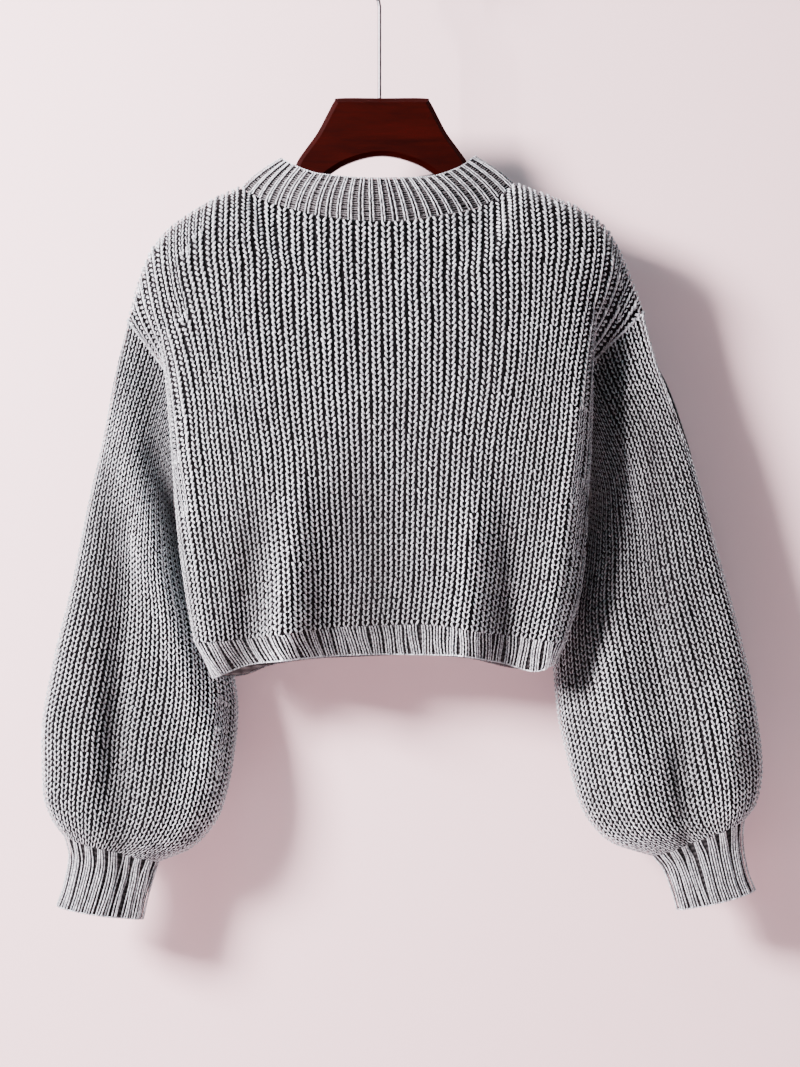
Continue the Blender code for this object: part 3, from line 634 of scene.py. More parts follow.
# ---------------------------------------------------------------- the panels' surfaces
def bulged(left, right, bulge):
    """x and y of a section between two points (x, y). A bulge to the front is negative."""
    across = -np.cos(np.linspace(0, math.pi, SECTION_POINTS))
    x = (left[0] + right[0]) / 2 + (right[0] - left[0]) / 2 * across
    y = left[1] + (right[1] - left[1]) * (across + 1) / 2
    return x, y + bulge * (1 - np.abs(across) ** BULGE_POWER) ** (1 / 2)


def panel_line(front, share_up):
    """A panel's cross-section from seam to seam, as points (x, y)."""
    outward = -1 if front else 1
    widest, seam = (1, 3) if front else (5, 4)
    left, right = smooth(LEFT_SIDE, share_up), smooth(RIGHT_SIDE, share_up)
    bulge = outward * smooth(BULGE, share_up)[0 if front else 1]
    x, y = bulged(left[[0, widest]], right[[0, widest]], bulge)
    for foot, head, top, depth, width in FRONT_FOLDS if front else BACK_FOLDS:
        centre = foot + (head - foot) * share_up / top
        y = y - outward * depth * ease(1 - share_up / top) * np.exp(-(((x - centre) / width) ** 2))
    return np.concatenate([[left[[2, seam]]], np.stack([x, y], axis=1), [right[[2, seam]]]])


def top_edge(front, rib):
    """x, z, y of a panel's top edge at each rib."""
    neck = smooth(FRONT_NECK, rib)
    if not front:
        neck[..., 1:] = smooth(BACK_NECK, rib)
    rib = rib[..., None]
    shoulder = np.where(rib < NECK_START, smooth(LEFT_SHOULDER, rib[..., 0]), neck)
    return np.where(rib > NECK_END, smooth(RIGHT_SHOULDER, rib[..., 0]), shoulder)


def panel_surface(front):
    """A function from rib number and share up to points on the panel."""
    shares = RIB_SAMPLES / PANEL_RIBS
    lines = np.array([along(panel_line(front, share_up), shares) for share_up in UP_SAMPLES])
    per_rib = 1 / RIB_SAMPLES[1]

    def looked_up(rib, share_up):
        return between(lines, share_up / UP_SAMPLES[1], rib * per_rib)

    def surface(rib, share_up):
        rib, share_up = np.broadcast_arrays(np.asarray(rib, float), np.asarray(share_up, float))
        top = top_edge(front, rib)
        foot_x = looked_up(rib, np.zeros_like(rib))[..., 0]
        foot_z = smooth(HEM_SEAM, foot_x)[..., 0]
        body = looked_up(rib, np.minimum(share_up, SHOULDER_ROUND))
        t = np.clip((share_up - SHOULDER_ROUND) / (1 - SHOULDER_ROUND), 0, 1)
        off_middle = np.abs(rib - (NECK_START + NECK_END) / 2)
        start, end = SHOULDER_BLEND
        on_shoulder = ease((off_middle - start) / (end - start))
        keep = on_shoulder * np.sqrt(1 - t * t) + (1 - on_shoulder) * (1 - t)
        x = body[..., 0] * (1 - t) + top[..., 0] * t
        y = body[..., 1] * keep + top[..., 2] * (1 - keep)
        z = foot_z * (1 - share_up) + top[..., 1] * share_up
        return np.stack([x, y, z], axis=-1)

    return surface


FRONT_SURFACE = panel_surface(True)
BACK_SURFACE = panel_surface(False)


# ---------------------------------------------------------------- the tubes' surfaces
def armhole(rib, share_round):
    """The sleeve's end of the armhole: from the underarm up the front's edge to the shoulder
    tip, then down the back's edge."""
    rise = UNDERARM + (1 - UNDERARM) * ARMHOLE_SAMPLES
    front = along(FRONT_SURFACE(rib, rise), ARMHOLE_SAMPLES)
    back = along(BACK_SURFACE(rib, rise), ARMHOLE_SAMPLES)
    loop = np.concatenate([front, back[-2::-1]])
    places = np.linspace(0, 1, len(loop))
    return np.stack([np.interp(share_round, places, axis) for axis in loop.T], axis=-1)


def ring(row, folds, share_down):
    """One section of a tube: from its inner side across the front to its outer side, and
    back behind."""
    outer = np.array([row[0], row[2], row[1]])
    inner = np.array([row[3], row[5], row[4]])
    turn = np.linspace(0, 2 * math.pi, SECTION_POINTS)
    across = (1 - np.cos(turn)) / 2
    points = inner + (outer - inner) * across[:, None]
    in_front = turn < math.pi
    depth = np.where(in_front, -row[6], row[7]) * np.abs(np.sin(turn))
    for side, rows in enumerate(folds):
        there = in_front if side == 0 else ~in_front
        inwards = 1 if side == 0 else -1
        for place, amount, width, start, end in rows:
            strength = ease((share_down - start) / FOLD_FADE)
            strength = strength * ease((end - share_down) / FOLD_FADE)
            dent = amount * strength * np.exp(-(((across - place) / width) ** 2))
            depth = depth + np.where(there, inwards * dent, 0)
    points[:, 1] += depth
    return points


def tube_surface(table, folds, rib_at_armhole=None):
    """A function from share round and share down to points on a sleeve or cuff. A sleeve's
    head grows out of the armhole."""
    rings = np.array(
        [along(ring(smooth(table, down), folds, down), ROUND_SAMPLES) for down in DOWN_SAMPLES]
    )
    if rib_at_armhole is not None:
        head = armhole(rib_at_armhole, ROUND_SAMPLES) - rings[0]
        fade = ease(1 - DOWN_SAMPLES / SLEEVE_HEAD) ** SLEEVE_HEAD_POWER
        rings = rings + head * fade[:, None, None]

    def surface(share_round, share_down):
        share_round, share_down = np.broadcast_arrays(
            np.asarray(share_round, float), np.asarray(share_down, float)
        )
        row = share_down / DOWN_SAMPLES[1]
        column = (share_round % 1) / ROUND_SAMPLES[1]
        return between(rings, row, column)

    return surface


def hem_edge(front, shares):
    """The lower edge of the front's or the back's hem rib."""
    outward = -1 if front else 1
    x, y = bulged(HEM_LEFT, HEM_RIGHT, outward * HEM_BULGE[0 if front else 1])
    for foot, _, _, depth, width in FRONT_FOLDS if front else BACK_FOLDS:
        y = y - outward * depth * np.exp(-(((x - foot * HEM_FOLD_SPREAD) / width) ** 2))
    edge = along(np.stack([x, y], axis=1), shares)
    z = smooth(FRONT_HEM if front else BACK_HEM, edge[:, 0])[:, 0]
    return np.stack([edge[:, 0], edge[:, 1], z], axis=1)


# ---------------------------------------------------------------- fine grids of the pieces
def outward_normals(points, side):
    """Unit normals of a grid. side is a direction that the whole piece faces, or None for a
    tube, whose normals leave its middle."""
    if side is None:
        loop = points[:, :-1]
        over = np.roll(loop, -1, axis=1) - np.roll(loop, 1, axis=1)
        over = np.concatenate([over, over[:, :1]], axis=1)
        away = points - points.mean(axis=1, keepdims=True)
    else:
        over = np.gradient(points, axis=1)
        away = np.array(side, float)
    found = unit(np.cross(over, np.gradient(points, axis=0)))
    return found if np.sum(found * away) > 0 else -found


def creased(points, normals):
    """The grid with the creases of the side that it faces, and their rise."""
    moved, total = points.copy(), np.zeros(points.shape[:2])
    start, whole = CREASE_FACING
    for outward, creases in ((-1, FRONT_CREASES), (1, BACK_CREASES)):
        strength = ease((normals[..., 1] * outward - start) / (whole - start))
        for crease in creases:
            z, x, out, half_width = np.array(crease[::-1], float).T
            at = points[..., 2]
            inside = (at > z[0]) & (at < z[-1]) | (at <= z[0]) & (out[0] != 0)
            off = (points[..., 0] - np.interp(at, z, x)) / np.interp(at, z, half_width)
            rise = np.interp(at, z, out) * np.exp(-off * off)
            rise = np.where(inside, rise, 0) * strength
            moved[..., 1] += outward * rise
            total += rise
    return moved, total


class Cloth:
    """A knitted piece's surface: a grid with GRID_STEP columns to each rib. side is the
    direction that it faces, or None for a tube."""

    def __init__(self, name, points, ribs, side=None):
        points, rise = creased(points, outward_normals(points, side))
        self.name, self.points, self.ribs, self.closed = name, points, ribs, side is None
        # The creases' rise, from which the yarn gets painted light on ridges and painted shade in
        # troughs
        self.fold = rise[..., None]
        self.normals = outward_normals(points, side)
        self.run = run_along(points.swapaxes(0, 1)).T

    def column(self, rib):
        """The grid's column at a rib number, which runs on round a tube."""
        return (rib % self.ribs if self.closed else rib) * GRID_STEP

    def at(self, rib, row, height):
        """Points at a rib number, a row number and a height over the surface."""
        facing = self.facing(rib, row)
        return between(self.points, row, self.column(rib)) + facing * height[..., None]

    def facing(self, rib, row):
        return unit(between(self.normals, row, self.column(rib)))

    def length(self, rib):
        """A rib's whole length."""
        return float(np.interp(rib * GRID_STEP, np.arange(self.run.shape[1]), self.run[-1]))

    def row_at(self, rib, distance):
        """The row number at a distance along a rib."""
        run = self.run[:, int(round(rib * GRID_STEP))]
        return np.interp(distance, run, np.arange(len(run)))


def even_grid(surface, width, ribs, rows):
    """A surface's points, evenly spaced over its width and from one end to the other."""
    across = np.linspace(0, width, GRID_STEP * ribs + 1)
    return surface(across[None, :], np.linspace(0, 1, rows)[:, None])


def hem_grid(front):
    """A hem rib from the panel's foot to its edge, drawn in evenly from side to side."""
    surface = FRONT_SURFACE if front else BACK_SURFACE
    shares = np.linspace(0, 1, GRID_STEP * HEM_RIBS + 1)
    head = along(surface(RIB_SAMPLES, 0), shares)
    start, end = HEM_SEAM[0][0], HEM_SEAM[-1][0]
    drawn_in = (HEM_RIGHT[0] - HEM_LEFT[0]) / (end - start)
    target = HEM_LEFT[0] + (head[:, 0] - start) * drawn_in
    even = np.interp(target, hem_edge(front, shares)[:, 0], shares)
    off_end = ease(np.minimum(shares, 1 - shares) / HEM_TURN)
    edge = hem_edge(front, shares + (even - shares) * off_end)
    share = np.linspace(0, 1, HEM_GRID_ROWS)[:, None, None]
    return head * (1 - share) + edge * share


def neckband_grid():
    """The neckband from the neck's edge to its top, round from the left across the front."""
    half = np.linspace(0, 1, GRID_STEP * NECKBAND_RIBS // 2 + 1)
    rib = np.linspace(NECK_START, NECK_END, SECTION_POINTS)
    feet = [along(surface(rib, 1), half) for surface in (FRONT_SURFACE, BACK_SURFACE)]
    tops = [smooth(table, half)[:, (0, 2, 1)] for table in (BAND_TOP_FRONT, BAND_TOP_BACK)]
    foot, top = [np.concatenate([front, back[-2::-1]]) for front, back in (feet, tops)]
    away = unit((foot - foot.mean(axis=0)) * (1, 1, 0))
    share = np.linspace(0, 1, BAND_GRID_ROWS)[:, None, None]
    return foot * (1 - share) + top * share + away * BAND_SWELL * 4 * share * (1 - share)


# ---------------------------------------------------------------- meshes
def add_object(name, data):
    """A new object of the scene, made of a mesh, a camera or a light."""
    made = bpy.data.objects.new(name, data)
    bpy.context.scene.collection.objects.link(made)
    return made


def knit_object(name, vertices, faces, materials, uv, fold):
    """A mesh object from points in millimetres. faces is a list of arrays, one for each
    material, of four corner numbers to a row; uv and fold hold values for each point."""
    mesh = bpy.data.meshes.new(name)
    mesh.vertices.add(len(vertices))
    mesh.vertices.foreach_set("co", (vertices * MM).astype(np.float32).ravel())
    corners = np.concatenate(faces).astype(np.int32).ravel()
    mesh.loops.add(len(corners))
    mesh.loops.foreach_set("vertex_index", corners)
    mesh.polygons.add(len(corners) // 4)
    mesh.polygons.foreach_set("loop_start", np.arange(0, len(corners), 4))
    slots = np.repeat(np.arange(len(faces)), [len(part) for part in faces])
    mesh.polygons.foreach_set("material_index", slots)
    for material in materials:
        mesh.materials.append(material)
    mesh.update(calc_edges=True)
    layer = mesh.uv_layers.new(name="knit")
    layer.data.foreach_set("uv", uv[corners].astype(np.float32).ravel())
    # The creases' rise, which the yarn's material turns into painted light on ridges and painted
    # shade in troughs
    shade = mesh.attributes.new("fold", "FLOAT", "POINT")
    shade.data.foreach_set("value", (fold / FOLD_FULL).astype(np.float32).ravel())
    mesh.shade_smooth()
    return add_object(name, mesh)


def grid_quads(rows, columns):
    """The corner numbers of a grid's faces."""
    a = (np.arange(rows - 1)[:, None] * columns + np.arange(columns - 1)).ravel()
    return np.stack([a, a + 1, a + columns + 1, a + columns], axis=1)


def shell(cloth, rows, materials):
    """A thin closed wall on the cloth's surface, outside of the first material and inside of
    the second."""
    row = np.linspace(0, len(cloth.points) - 1, rows)[:, None]
    rib = np.linspace(0, cloth.ribs, cloth.ribs * SHELL_PER_RIB + 1)[None, :]
    rib, row = np.broadcast_arrays(rib, row)
    run = cloth.run[np.round(row).astype(int), (rib * GRID_STEP).astype(int)]
    depths = (SHELL_OUTSIDE, SHELL_INSIDE)
    grids = [cloth.at(rib, row, np.full(rib.shape, -depth)) for depth in depths]
    across = rib.shape[1]
    if cloth.closed:
        for grid in grids:
            grid[:, -1] = grid[:, 0]
    count = rows * across
    outer = grid_quads(rows, across)
    inner = outer[:, ::-1] + count
    numbers = np.arange(count).reshape(rows, across)
    rims = [numbers[0], numbers[-1][::-1]]
    if not cloth.closed:
        rims += [numbers[::-1, 0], numbers[:, -1]]
    a, b = (np.concatenate(ends) for ends in zip(*((line[:-1], line[1:]) for line in rims)))
    rim = np.stack([a, a + count, b + count, b], axis=1)
    vertices = np.concatenate([grid.reshape(-1, 3) for grid in grids])
    # Every face turns the way that one in the middle has to, to face outwards
    a, b, _, d = outer[len(outer) // 2]
    turned = np.cross(vertices[b] - vertices[a], vertices[d] - vertices[a])
    if np.dot(turned, cloth.facing(rib, row).reshape(-1, 3)[a]) < 0:
        outer, inner, rim = outer[:, ::-1], inner[:, ::-1], rim[:, ::-1]
    uv = np.stack([rib.ravel(), run.ravel() / STITCH], axis=1)
    fold = between(cloth.fold, row, cloth.column(rib)).ravel()
    made = knit_object(
        cloth.name + "_shell",
        vertices,
        [np.concatenate([outer, rim]), inner],
        materials,
        np.concatenate([uv, uv]),
        np.concatenate([fold, fold]),
    )
    # A tube's first and last columns become one
    shape = bmesh.new()
    shape.from_mesh(made.data)
    bmesh.ops.remove_doubles(shape, verts=shape.verts, dist=WELD * MM)
    shape.to_mesh(made.data)
    shape.free()
    return made


def strands(cloth, rib, row, height, radius, points):
    """Half-round strands that run over the cloth: arrays of strands by rings. It returns
    their points (strand, ring, point, xyz), their texture places and the folds' rise."""
    centre = cloth.at(rib, row, height)
    facing = cloth.facing(rib, row)
    ahead = unit(np.gradient(centre, axis=1))
    side = unit(np.cross(ahead, facing))
    turn = np.linspace(-HALF_ROUND, HALF_ROUND, points)
    out = side[..., None, :] * np.sin(turn)[:, None] + facing[..., None, :] * np.cos(turn)[:, None]
    surface = centre[..., None, :] + out * radius[..., None, None]
    run = run_along(centre)
    run = run + np.arange(len(run))[:, None] * STRAND_UV_STEP
    across = np.linspace(0, 1, points)
    uv = np.stack(np.broadcast_arrays(run[..., None], across), axis=-1)
    fold = between(cloth.fold, row, cloth.column(rib)) + np.zeros(points)
    return surface, uv, fold


def strand_object(name, made, materials):
    """One mesh of several arrays of strands, the way strands() returns them."""
    vertices, texture, folds, faces, start = [], [], [], [], 0
    for surface, uv, fold in made:
        count, rings, points, _ = surface.shape
        quads = grid_quads(rings, points)
        offsets = start + np.arange(count)[:, None, None] * rings * points
        faces.append((quads[None] + offsets).reshape(-1, 4))
        vertices.append(surface.reshape(-1, 3))
        texture.append(uv.reshape(-1, 2))
        folds.append(fold.ravel())
        start += surface.size // 3
    vertices, texture, folds = map(np.concatenate, (vertices, texture, folds))
    return knit_object(name, vertices, faces, materials, texture, folds)


# ---------------------------------------------------------------- stitches
def panel_column(rib, share_up):
    """Where a panel's column runs, which is more upright than the ribs beside it."""
    off_middle = rib - PANEL_RIBS / 2
    strays = [np.zeros_like(share_up)] + list(smooth(COLUMN_STRAY, share_up).T)
    step = int(np.searchsorted(STRAY_AT, abs(off_middle), side="right"))
    step = min(step, len(STRAY_AT) - 1)
    low, high = STRAY_AT[step - 1], STRAY_AT[step]
    part = (abs(off_middle) - low) / (high - low)
    stray = strays[step - 1] * (1 - part) + strays[step] * part
    return np.clip(rib + math.copysign(1, off_middle) * stray, -1, PANEL_RIBS + 1)


def even_column(rib, share_up):
    """A sleeve's column keeps to its rib."""
    return np.full(len(share_up), float(rib))


def column_width(cloth, column_path, start, end):
    """How wide a column is at each row of the grid, square to its own direction."""
    rows = np.arange(len(cloth.points))
    flat = np.zeros(len(rows))
    left, middle, right = (
        cloth.at(column_path(rib, rows / rows[-1]), rows, flat)
        for rib in (start, (start + end) / 2, end)
    )
    ahead = unit(np.gradient(middle, axis=0))
    across = right - left
    across = across - ahead * np.sum(across * ahead, axis=1, keepdims=True)
    return np.linalg.norm(across, axis=1)


def column_legs(cloth, column_path, start, end, rng):
    """The legs of one column, between two rib numbers."""
    share, out, rise, thick = np.array(LEG).T
    grid_rows = np.arange(len(cloth.points))
    shares = grid_rows / grid_rows[-1]
    path, before, after = (column_path(rib, shares) for rib in ((start + end) / 2, start, end))
    run = run_along(cloth.at(path, grid_rows, np.zeros(len(path))))
    count = int(run[-1] / STITCH)
    pitch = run[-1] / count
    base = np.arange(count)[:, None] * pitch
    slip = rng.normal(0, STITCH_JITTER, (count, 1))
    row = np.interp(base + (share + slip) * pitch, run, grid_rows)
    middle = np.interp(row, grid_rows, path)
    sway = COLUMN_SWAY * np.sin(base / SWAY_LENGTH + rng.uniform(0, 2 * math.pi))
    swell = 1 + rng.normal(0, LOOP_JITTER, (count, 1))
    wide = np.interp(row, grid_rows, column_width(cloth, column_path, start, end))
    spread = np.interp(row, grid_rows, after - before)
    whole = math.floor(start)
    rib_width = column_width(cloth, column_path, whole, whole + 1)
    padded = np.pad(rib_width, SPLIT_REACH, mode="edge")
    rib_width = np.convolve(padded, SPLIT_WEIGHTS, "valid")
    rib_wide = np.interp(row, grid_rows, rib_width)
    if end - start == 1:
        shown = rib_wide.min(axis=1) <= SPLIT_RIB
    else:
        shown = rib_wide.max(axis=1) > SPLIT_RIB
    found = []
    for side in (-1, 1):
        lean = rng.normal(0, LEAN_JITTER, (count, 1))
        rib = middle + (sway + side * out * swell + lean) * spread
        height = rise * np.minimum(wide / WIDEST_RIB, 1)
        radius = thick * np.minimum(wide, WIDEST_RIB) * swell
        kept = shown
        if not cloth.closed:
            kept = shown & (np.abs(rib - cloth.ribs / 2).max(axis=1) < cloth.ribs / 2)
        found.append([part[kept] for part in (rib, row, height, radius)])
    return found


def add_stitches(cloth, column_path, material):
    """Every stitch's two legs. A rib holds one column, or two narrow ones where it is very
    wide."""
    rng = np.random.default_rng(STITCH_SEEDS[cloth.name])
    found = []
    for rib in range(cloth.ribs):
        for start, end in ((rib, rib + 1), (rib, rib + 0.5), (rib + 0.5, rib + 1)):
            found += column_legs(cloth, column_path, start, end, rng)
    made = strands(cloth, *map(np.concatenate, zip(*found)), LEG_POINTS)
    return strand_object(cloth.name + "_stitches", [made], [material])


def wales(cloth, places, bend, rng):
    """Long strands up the whole piece, at the given places and heights within each rib."""
    ribs, heights = [], []
    row = np.linspace(0, len(cloth.points) - 1, WALE_RINGS)
    share = row / row[-1]
    sway, pinch, reach = bend
    middle = (places[0][0] + places[-1][0]) / 2
    drawn = 1 - pinch * ease(1 - share / reach)
    for column in range(cloth.ribs):
        lean = sway * np.sin(share * BEND_TURNS + rng.uniform(0, 2 * math.pi))
        for place, height in places:
            wave = rng.uniform(0, 2 * math.pi)
            turn = share * cloth.length(column + place) / WALE_WAVE * 2 * math.pi
            place = column + middle + (place - middle) * drawn + rng.normal(0, WALE_JITTER)
            ribs.append(place + lean + WALE_SWAY * np.sin(turn + wave))
            heights.append(height + rng.normal(0, WALE_LIFT) + 0 * row)
    rib = np.array(ribs)
    rows = np.broadcast_to(row, rib.shape)
    thin = np.full(rib.shape, WALE_RADIUS)
    return strands(cloth, rib, rows, np.array(heights), thin, WALE_POINTS)


def bars(cloth, start, end, sizes, rng):
    """Short strands across each rib's recess, like the rungs of a ladder."""
    spacing, radius, height = sizes
    ribs, rows = [], []
    share = np.linspace(0, 1, BAR_RINGS)
    for column in range(cloth.ribs):
        length = cloth.length(column + (start + end) / 2)
        for place in np.arange(spacing / 2, length, spacing):
            place = place + rng.normal(0, spacing * BAR_JITTER)
            middle = cloth.row_at(column + 0.5, place)
            tilt = rng.normal(0, BAR_TILT)
            ribs.append(column + start + (end - start) * share)
            rows.append(middle + tilt * (share - 0.5))
    rib, row = np.array(ribs), np.array(rows)
    arch = np.broadcast_to(height - BAR_SAG * np.abs(2 * share - 1) ** 2, rib.shape)
    return strands(cloth, rib, row, arch, np.full(rib.shape, radius), BAR_POINTS)


def beaded_roll(cloth, row, radius, height, wave, taper=0.0):
    """A roll along one row of a piece, with a bead at each fine stitch. It thins out over the
    given share of the row at both of its ends."""
    rings = cloth.ribs * ROLL_RINGS + 1
    rib = np.linspace(0, cloth.ribs, rings)[None, :]
    bead = 1 + wave * np.cos(np.arange(rings) * math.pi)[None, :]
    if taper:
        share = rib / cloth.ribs
        full = ease(np.minimum(share, 1 - share) / taper)
        bead = bead * (ROLL_TIP + (1 - ROLL_TIP) * full)
        height = height - radius * (1 - full)
    rows = np.full(rib.shape, float(row))
    return strands(cloth, rib, rows, height + 0 * rib, radius * bead, ROLL_POINTS)


def finish_piece(made, node, extras):
    for piece in [made] + extras:
        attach(piece, "root")
    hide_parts(node)


# ---------------------------------------------------------------- materials
class Nodes:
    """Short calls for a material's nodes."""

    def __init__(self, name):
        self.material = bpy.data.materials.new(name)
        self.material.use_nodes = True
        self.tree = self.material.node_tree
        self.shader = self.tree.nodes["Principled BSDF"]
        self.output = self.tree.nodes["Material Output"]

    def add(self, kind, **values):
        """A node with the given settings, or values of its sockets."""
        made = self.tree.nodes.new("ShaderNode" + kind)
        for key, value in values.items():
            if hasattr(made, key):
                setattr(made, key, value)
            else:
                made.inputs[key].default_value = value
        return made

    def put(self, socket, value):
        """Gives a socket a number or a colour, or links it to another node's output."""
        if isinstance(value, (int, float, tuple)):
            socket.default_value = value
        else:
            self.tree.links.new(value, socket)

    def set(self, **values):
        for key, value in values.items():
            self.put(self.shader.inputs[key.replace("_", " ")], value)

    def math(self, operation, a, b=0.0):
        made = self.add("Math", operation=operation)
        for socket, value in zip(made.inputs, (a, b)):
            self.put(socket, value)
        return made.outputs[0]

    def weigh(self, a, b, weights):
        """The sum of two values, each multiplied by its weight."""
        return self.math("ADD", *(self.math("MULTIPLY", *pair) for pair in zip((a, b), weights)))

    def mix(self, share, a, b, blend_type="MIX"):
        made = self.add("Mix", data_type="RGBA", blend_type=blend_type)
        for place, value in ((MIX_SHARE, share), (MIX_A, a), (MIX_B, b)):
            self.put(made.inputs[place], value)
        return made.outputs[MIX_RESULT]

    def noise(self, kind, vector=None):
        scale, detail, rough = kind
        made = self.add("TexNoise", Scale=scale, Detail=detail, Roughness=rough)
        self.put(made.inputs["Vector"], vector or self.add("TexCoord").outputs["Object"])
        return made.outputs["Fac"]

    def ramp(self, value, ends):
        """0 to 1 while the value goes from one end to the other."""
        made = self.add("MapRange")
        for key, given in zip(("Value", "From Min", "From Max"), (value, *ends)):
            self.put(made.inputs[key], given)
        return made.outputs["Result"]

    def uv(self):
        """The two coordinates of the place in the knit."""
        place = self.add("UVMap", uv_map="knit")
        split = self.add("SeparateXYZ")
        self.put(split.inputs["Vector"], place.outputs["UV"])
        return split.outputs["X"], split.outputs["Y"]

    def painted_fold_light_and_shade(self, colour):
        """The colour with painted light on the creases' ridges and painted shade in their troughs.
        """
        rise = self.add("Attribute", attribute_name="fold").outputs["Fac"]
        painted_fold_shade = self.mix(self.ramp(rise, WHOLE_WAVE), TROUGH_PAINTED_SHADE, RIDGE_PAINTED_LIGHT)
        return self.mix(1, colour, painted_fold_shade, "MULTIPLY")

    def bump(self, height, kind, below=None):
        distance, strength = kind
        made = self.add("Bump", Strength=strength, Distance=distance)
        self.put(made.inputs["Height"], height)
        if below:
            self.put(made.inputs["Normal"], below)
        return made.outputs["Normal"]


def yarn_material(name, light, dark):
    """Soft grey wool: twisted plies, loose fibres and slight tone changes, with painted shade on
    each strand's sides and painted light and shade on the creases.
    """
    m = Nodes(name)
    along_strand, across = m.uv()
    twist = m.math("ADD", m.math("MULTIPLY", along_strand, TWIST_TURNS), across)
    plies = m.ramp(m.math("SINE", m.math("MULTIPLY", twist, 2 * math.pi)), WHOLE_WAVE)
    clumps = m.ramp(m.noise(CLUMP_NOISE), CLUMP_RANGE)
    patches = m.ramp(m.noise(PATCH_NOISE), PATCH_RANGE)
    shade = m.weigh(clumps, plies, CLUMPS_AND_PLIES)
    shade = m.weigh(shade, patches, YARN_AND_PATCHES)
    colour = m.mix(m.ramp(shade, YARN_RANGE), dark, light)
    # Painted shade: the strand darkens towards near black at its sides
    off_top = m.math("ABSOLUTE", m.math("SUBTRACT", across, 0.5))
    colour = m.mix(m.ramp(off_top, (STRAND_TOP, 0.5)), colour, STRAND_SIDE_PAINTED_SHADE)
    normal = m.bump(clumps, CLUMP_BUMP, m.bump(plies, PLY_BUMP))
    normal = m.bump(m.noise(FIBRE_NOISE), FIBRE_BUMP, normal)
    # The creases add painted light and painted shade to the yarn's colour
    m.set(Base_Color=m.painted_fold_light_and_shade(colour), Normal=normal, Roughness=0.88, Specular_IOR_Level=0.2)
    m.set(Sheen_Weight=0.35, Sheen_Roughness=0.5, Sheen_Tint=SHEEN_TINT)
    return m.material


def painted_shade_material(name, light, dark):
    """Painted shade for the purl side between the columns and inside the pieces: faint rungs in
    dark colours, darker towards the middle of each rib.
    """
    m = Nodes(name)
    rib, stitch = m.uv()
    rung = m.ramp(m.math("SINE", m.math("MULTIPLY", stitch, 2 * math.pi)), WHOLE_WAVE)
    rung = m.weigh(rung, m.noise(RUNG_NOISE), RUNG_AND_WOBBLE)
    # Painted shade, deepest towards the middle of each rib
    valley = m.math("ABSOLUTE", m.math("COSINE", m.math("MULTIPLY", rib, math.pi)))
    shade = m.math("MULTIPLY", m.ramp(rung, RUNG_RANGE), valley)
    m.set(Base_Color=m.mix(shade, dark, light), Normal=m.bump(rung, RUNG_BUMP))
    m.set(Roughness=0.95, Specular_IOR_Level=0.1)
    return m.material


def wood_material():
    """Polished reddish brown wood, its grain along the hanger."""
    m = Nodes("polished_wood")
    stretch = m.add("Mapping", Scale=GRAIN_STRETCH)
    m.put(stretch.inputs["Vector"], m.add("TexCoord").outputs["Object"])
    grain = m.noise(GRAIN_NOISE, stretch.outputs["Vector"])
    fine = m.noise(FINE_GRAIN_NOISE, stretch.outputs["Vector"])
    shade = m.ramp(m.weigh(grain, fine, GRAIN_AND_FINE), GRAIN_RANGE)
    m.set(Base_Color=m.mix(shade, WOOD_DARK, WOOD_LIGHT), Normal=m.bump(fine, GRAIN_BUMP))
    m.set(Roughness=0.3, Specular_IOR_Level=0.07)
    return m.material


def wire_material():
    """Bright plated wire with faint draw marks."""
    m = Nodes("plated_wire")
    marks = m.noise(DRAW_MARK_NOISE)
    m.set(Base_Color=m.mix(marks, WIRE_DARK, WIRE_LIGHT), Metallic=1.0)
    m.set(Roughness=m.ramp(marks, DRAW_MARK_RANGE))
    return m.material


def stage_material(name, colour, one_sided):
    """Plain, slightly cloudy paint. A one-sided one is clear from behind and to the lights."""
    m = Nodes(name)
    cloudy = m.ramp(m.noise(STAGE_NOISE), STAGE_RANGE)
    paler = tuple(min(1, part * STAGE_CLOUDING) for part in colour[:3]) + (1,)
    m.set(Base_Color=m.mix(cloudy, colour, paler), Roughness=0.9, Specular_IOR_Level=0.1)
    if one_sided:
        facing_away = m.add("NewGeometry").outputs["Backfacing"]
        light_ray = m.add("LightPath").outputs["Is Shadow Ray"]
        clear = m.math("MAXIMUM", facing_away, light_ray)
        chosen = m.add("MixShader")
        shaders = m.shader.outputs[0], m.add("BsdfTransparent").outputs[0]
        for socket, value in zip(chosen.inputs, (clear, *shaders)):
            m.put(socket, value)
        m.put(m.output.inputs["Surface"], chosen.outputs[0])
    return m.material


# ---------------------------------------------------------------- the hanger
def rounded(points, steps):
    """A closed outline through the points, bent smoothly where it turns gently."""
    count = len(points)
    found = []
    for index in range(count):
        a, b, c, d = (points[(index + k) % count] for k in (-1, 0, 1, 2))
        for step in range(steps):
            t = step / steps
            bend = 2 * b + (c - a) * t + (2 * a - 5 * b + 4 * c - d) * t * t
            found.append((bend + (3 * b - a - 3 * c + d) * t**3) / 2)
    return np.array(found)


def inset(outline, amount):
    """An outline drawn in from its own edge."""
    ahead = unit(np.roll(outline, -1, axis=0) - np.roll(outline, 1, axis=0))
    inwards = np.stack([-ahead[:, 1], ahead[:, 0]], axis=1)
    x, z = outline.T
    area = np.sum(x * np.roll(z, -1) - z * np.roll(x, -1))
    return outline + inwards * amount * (1 if area > 0 else -1)


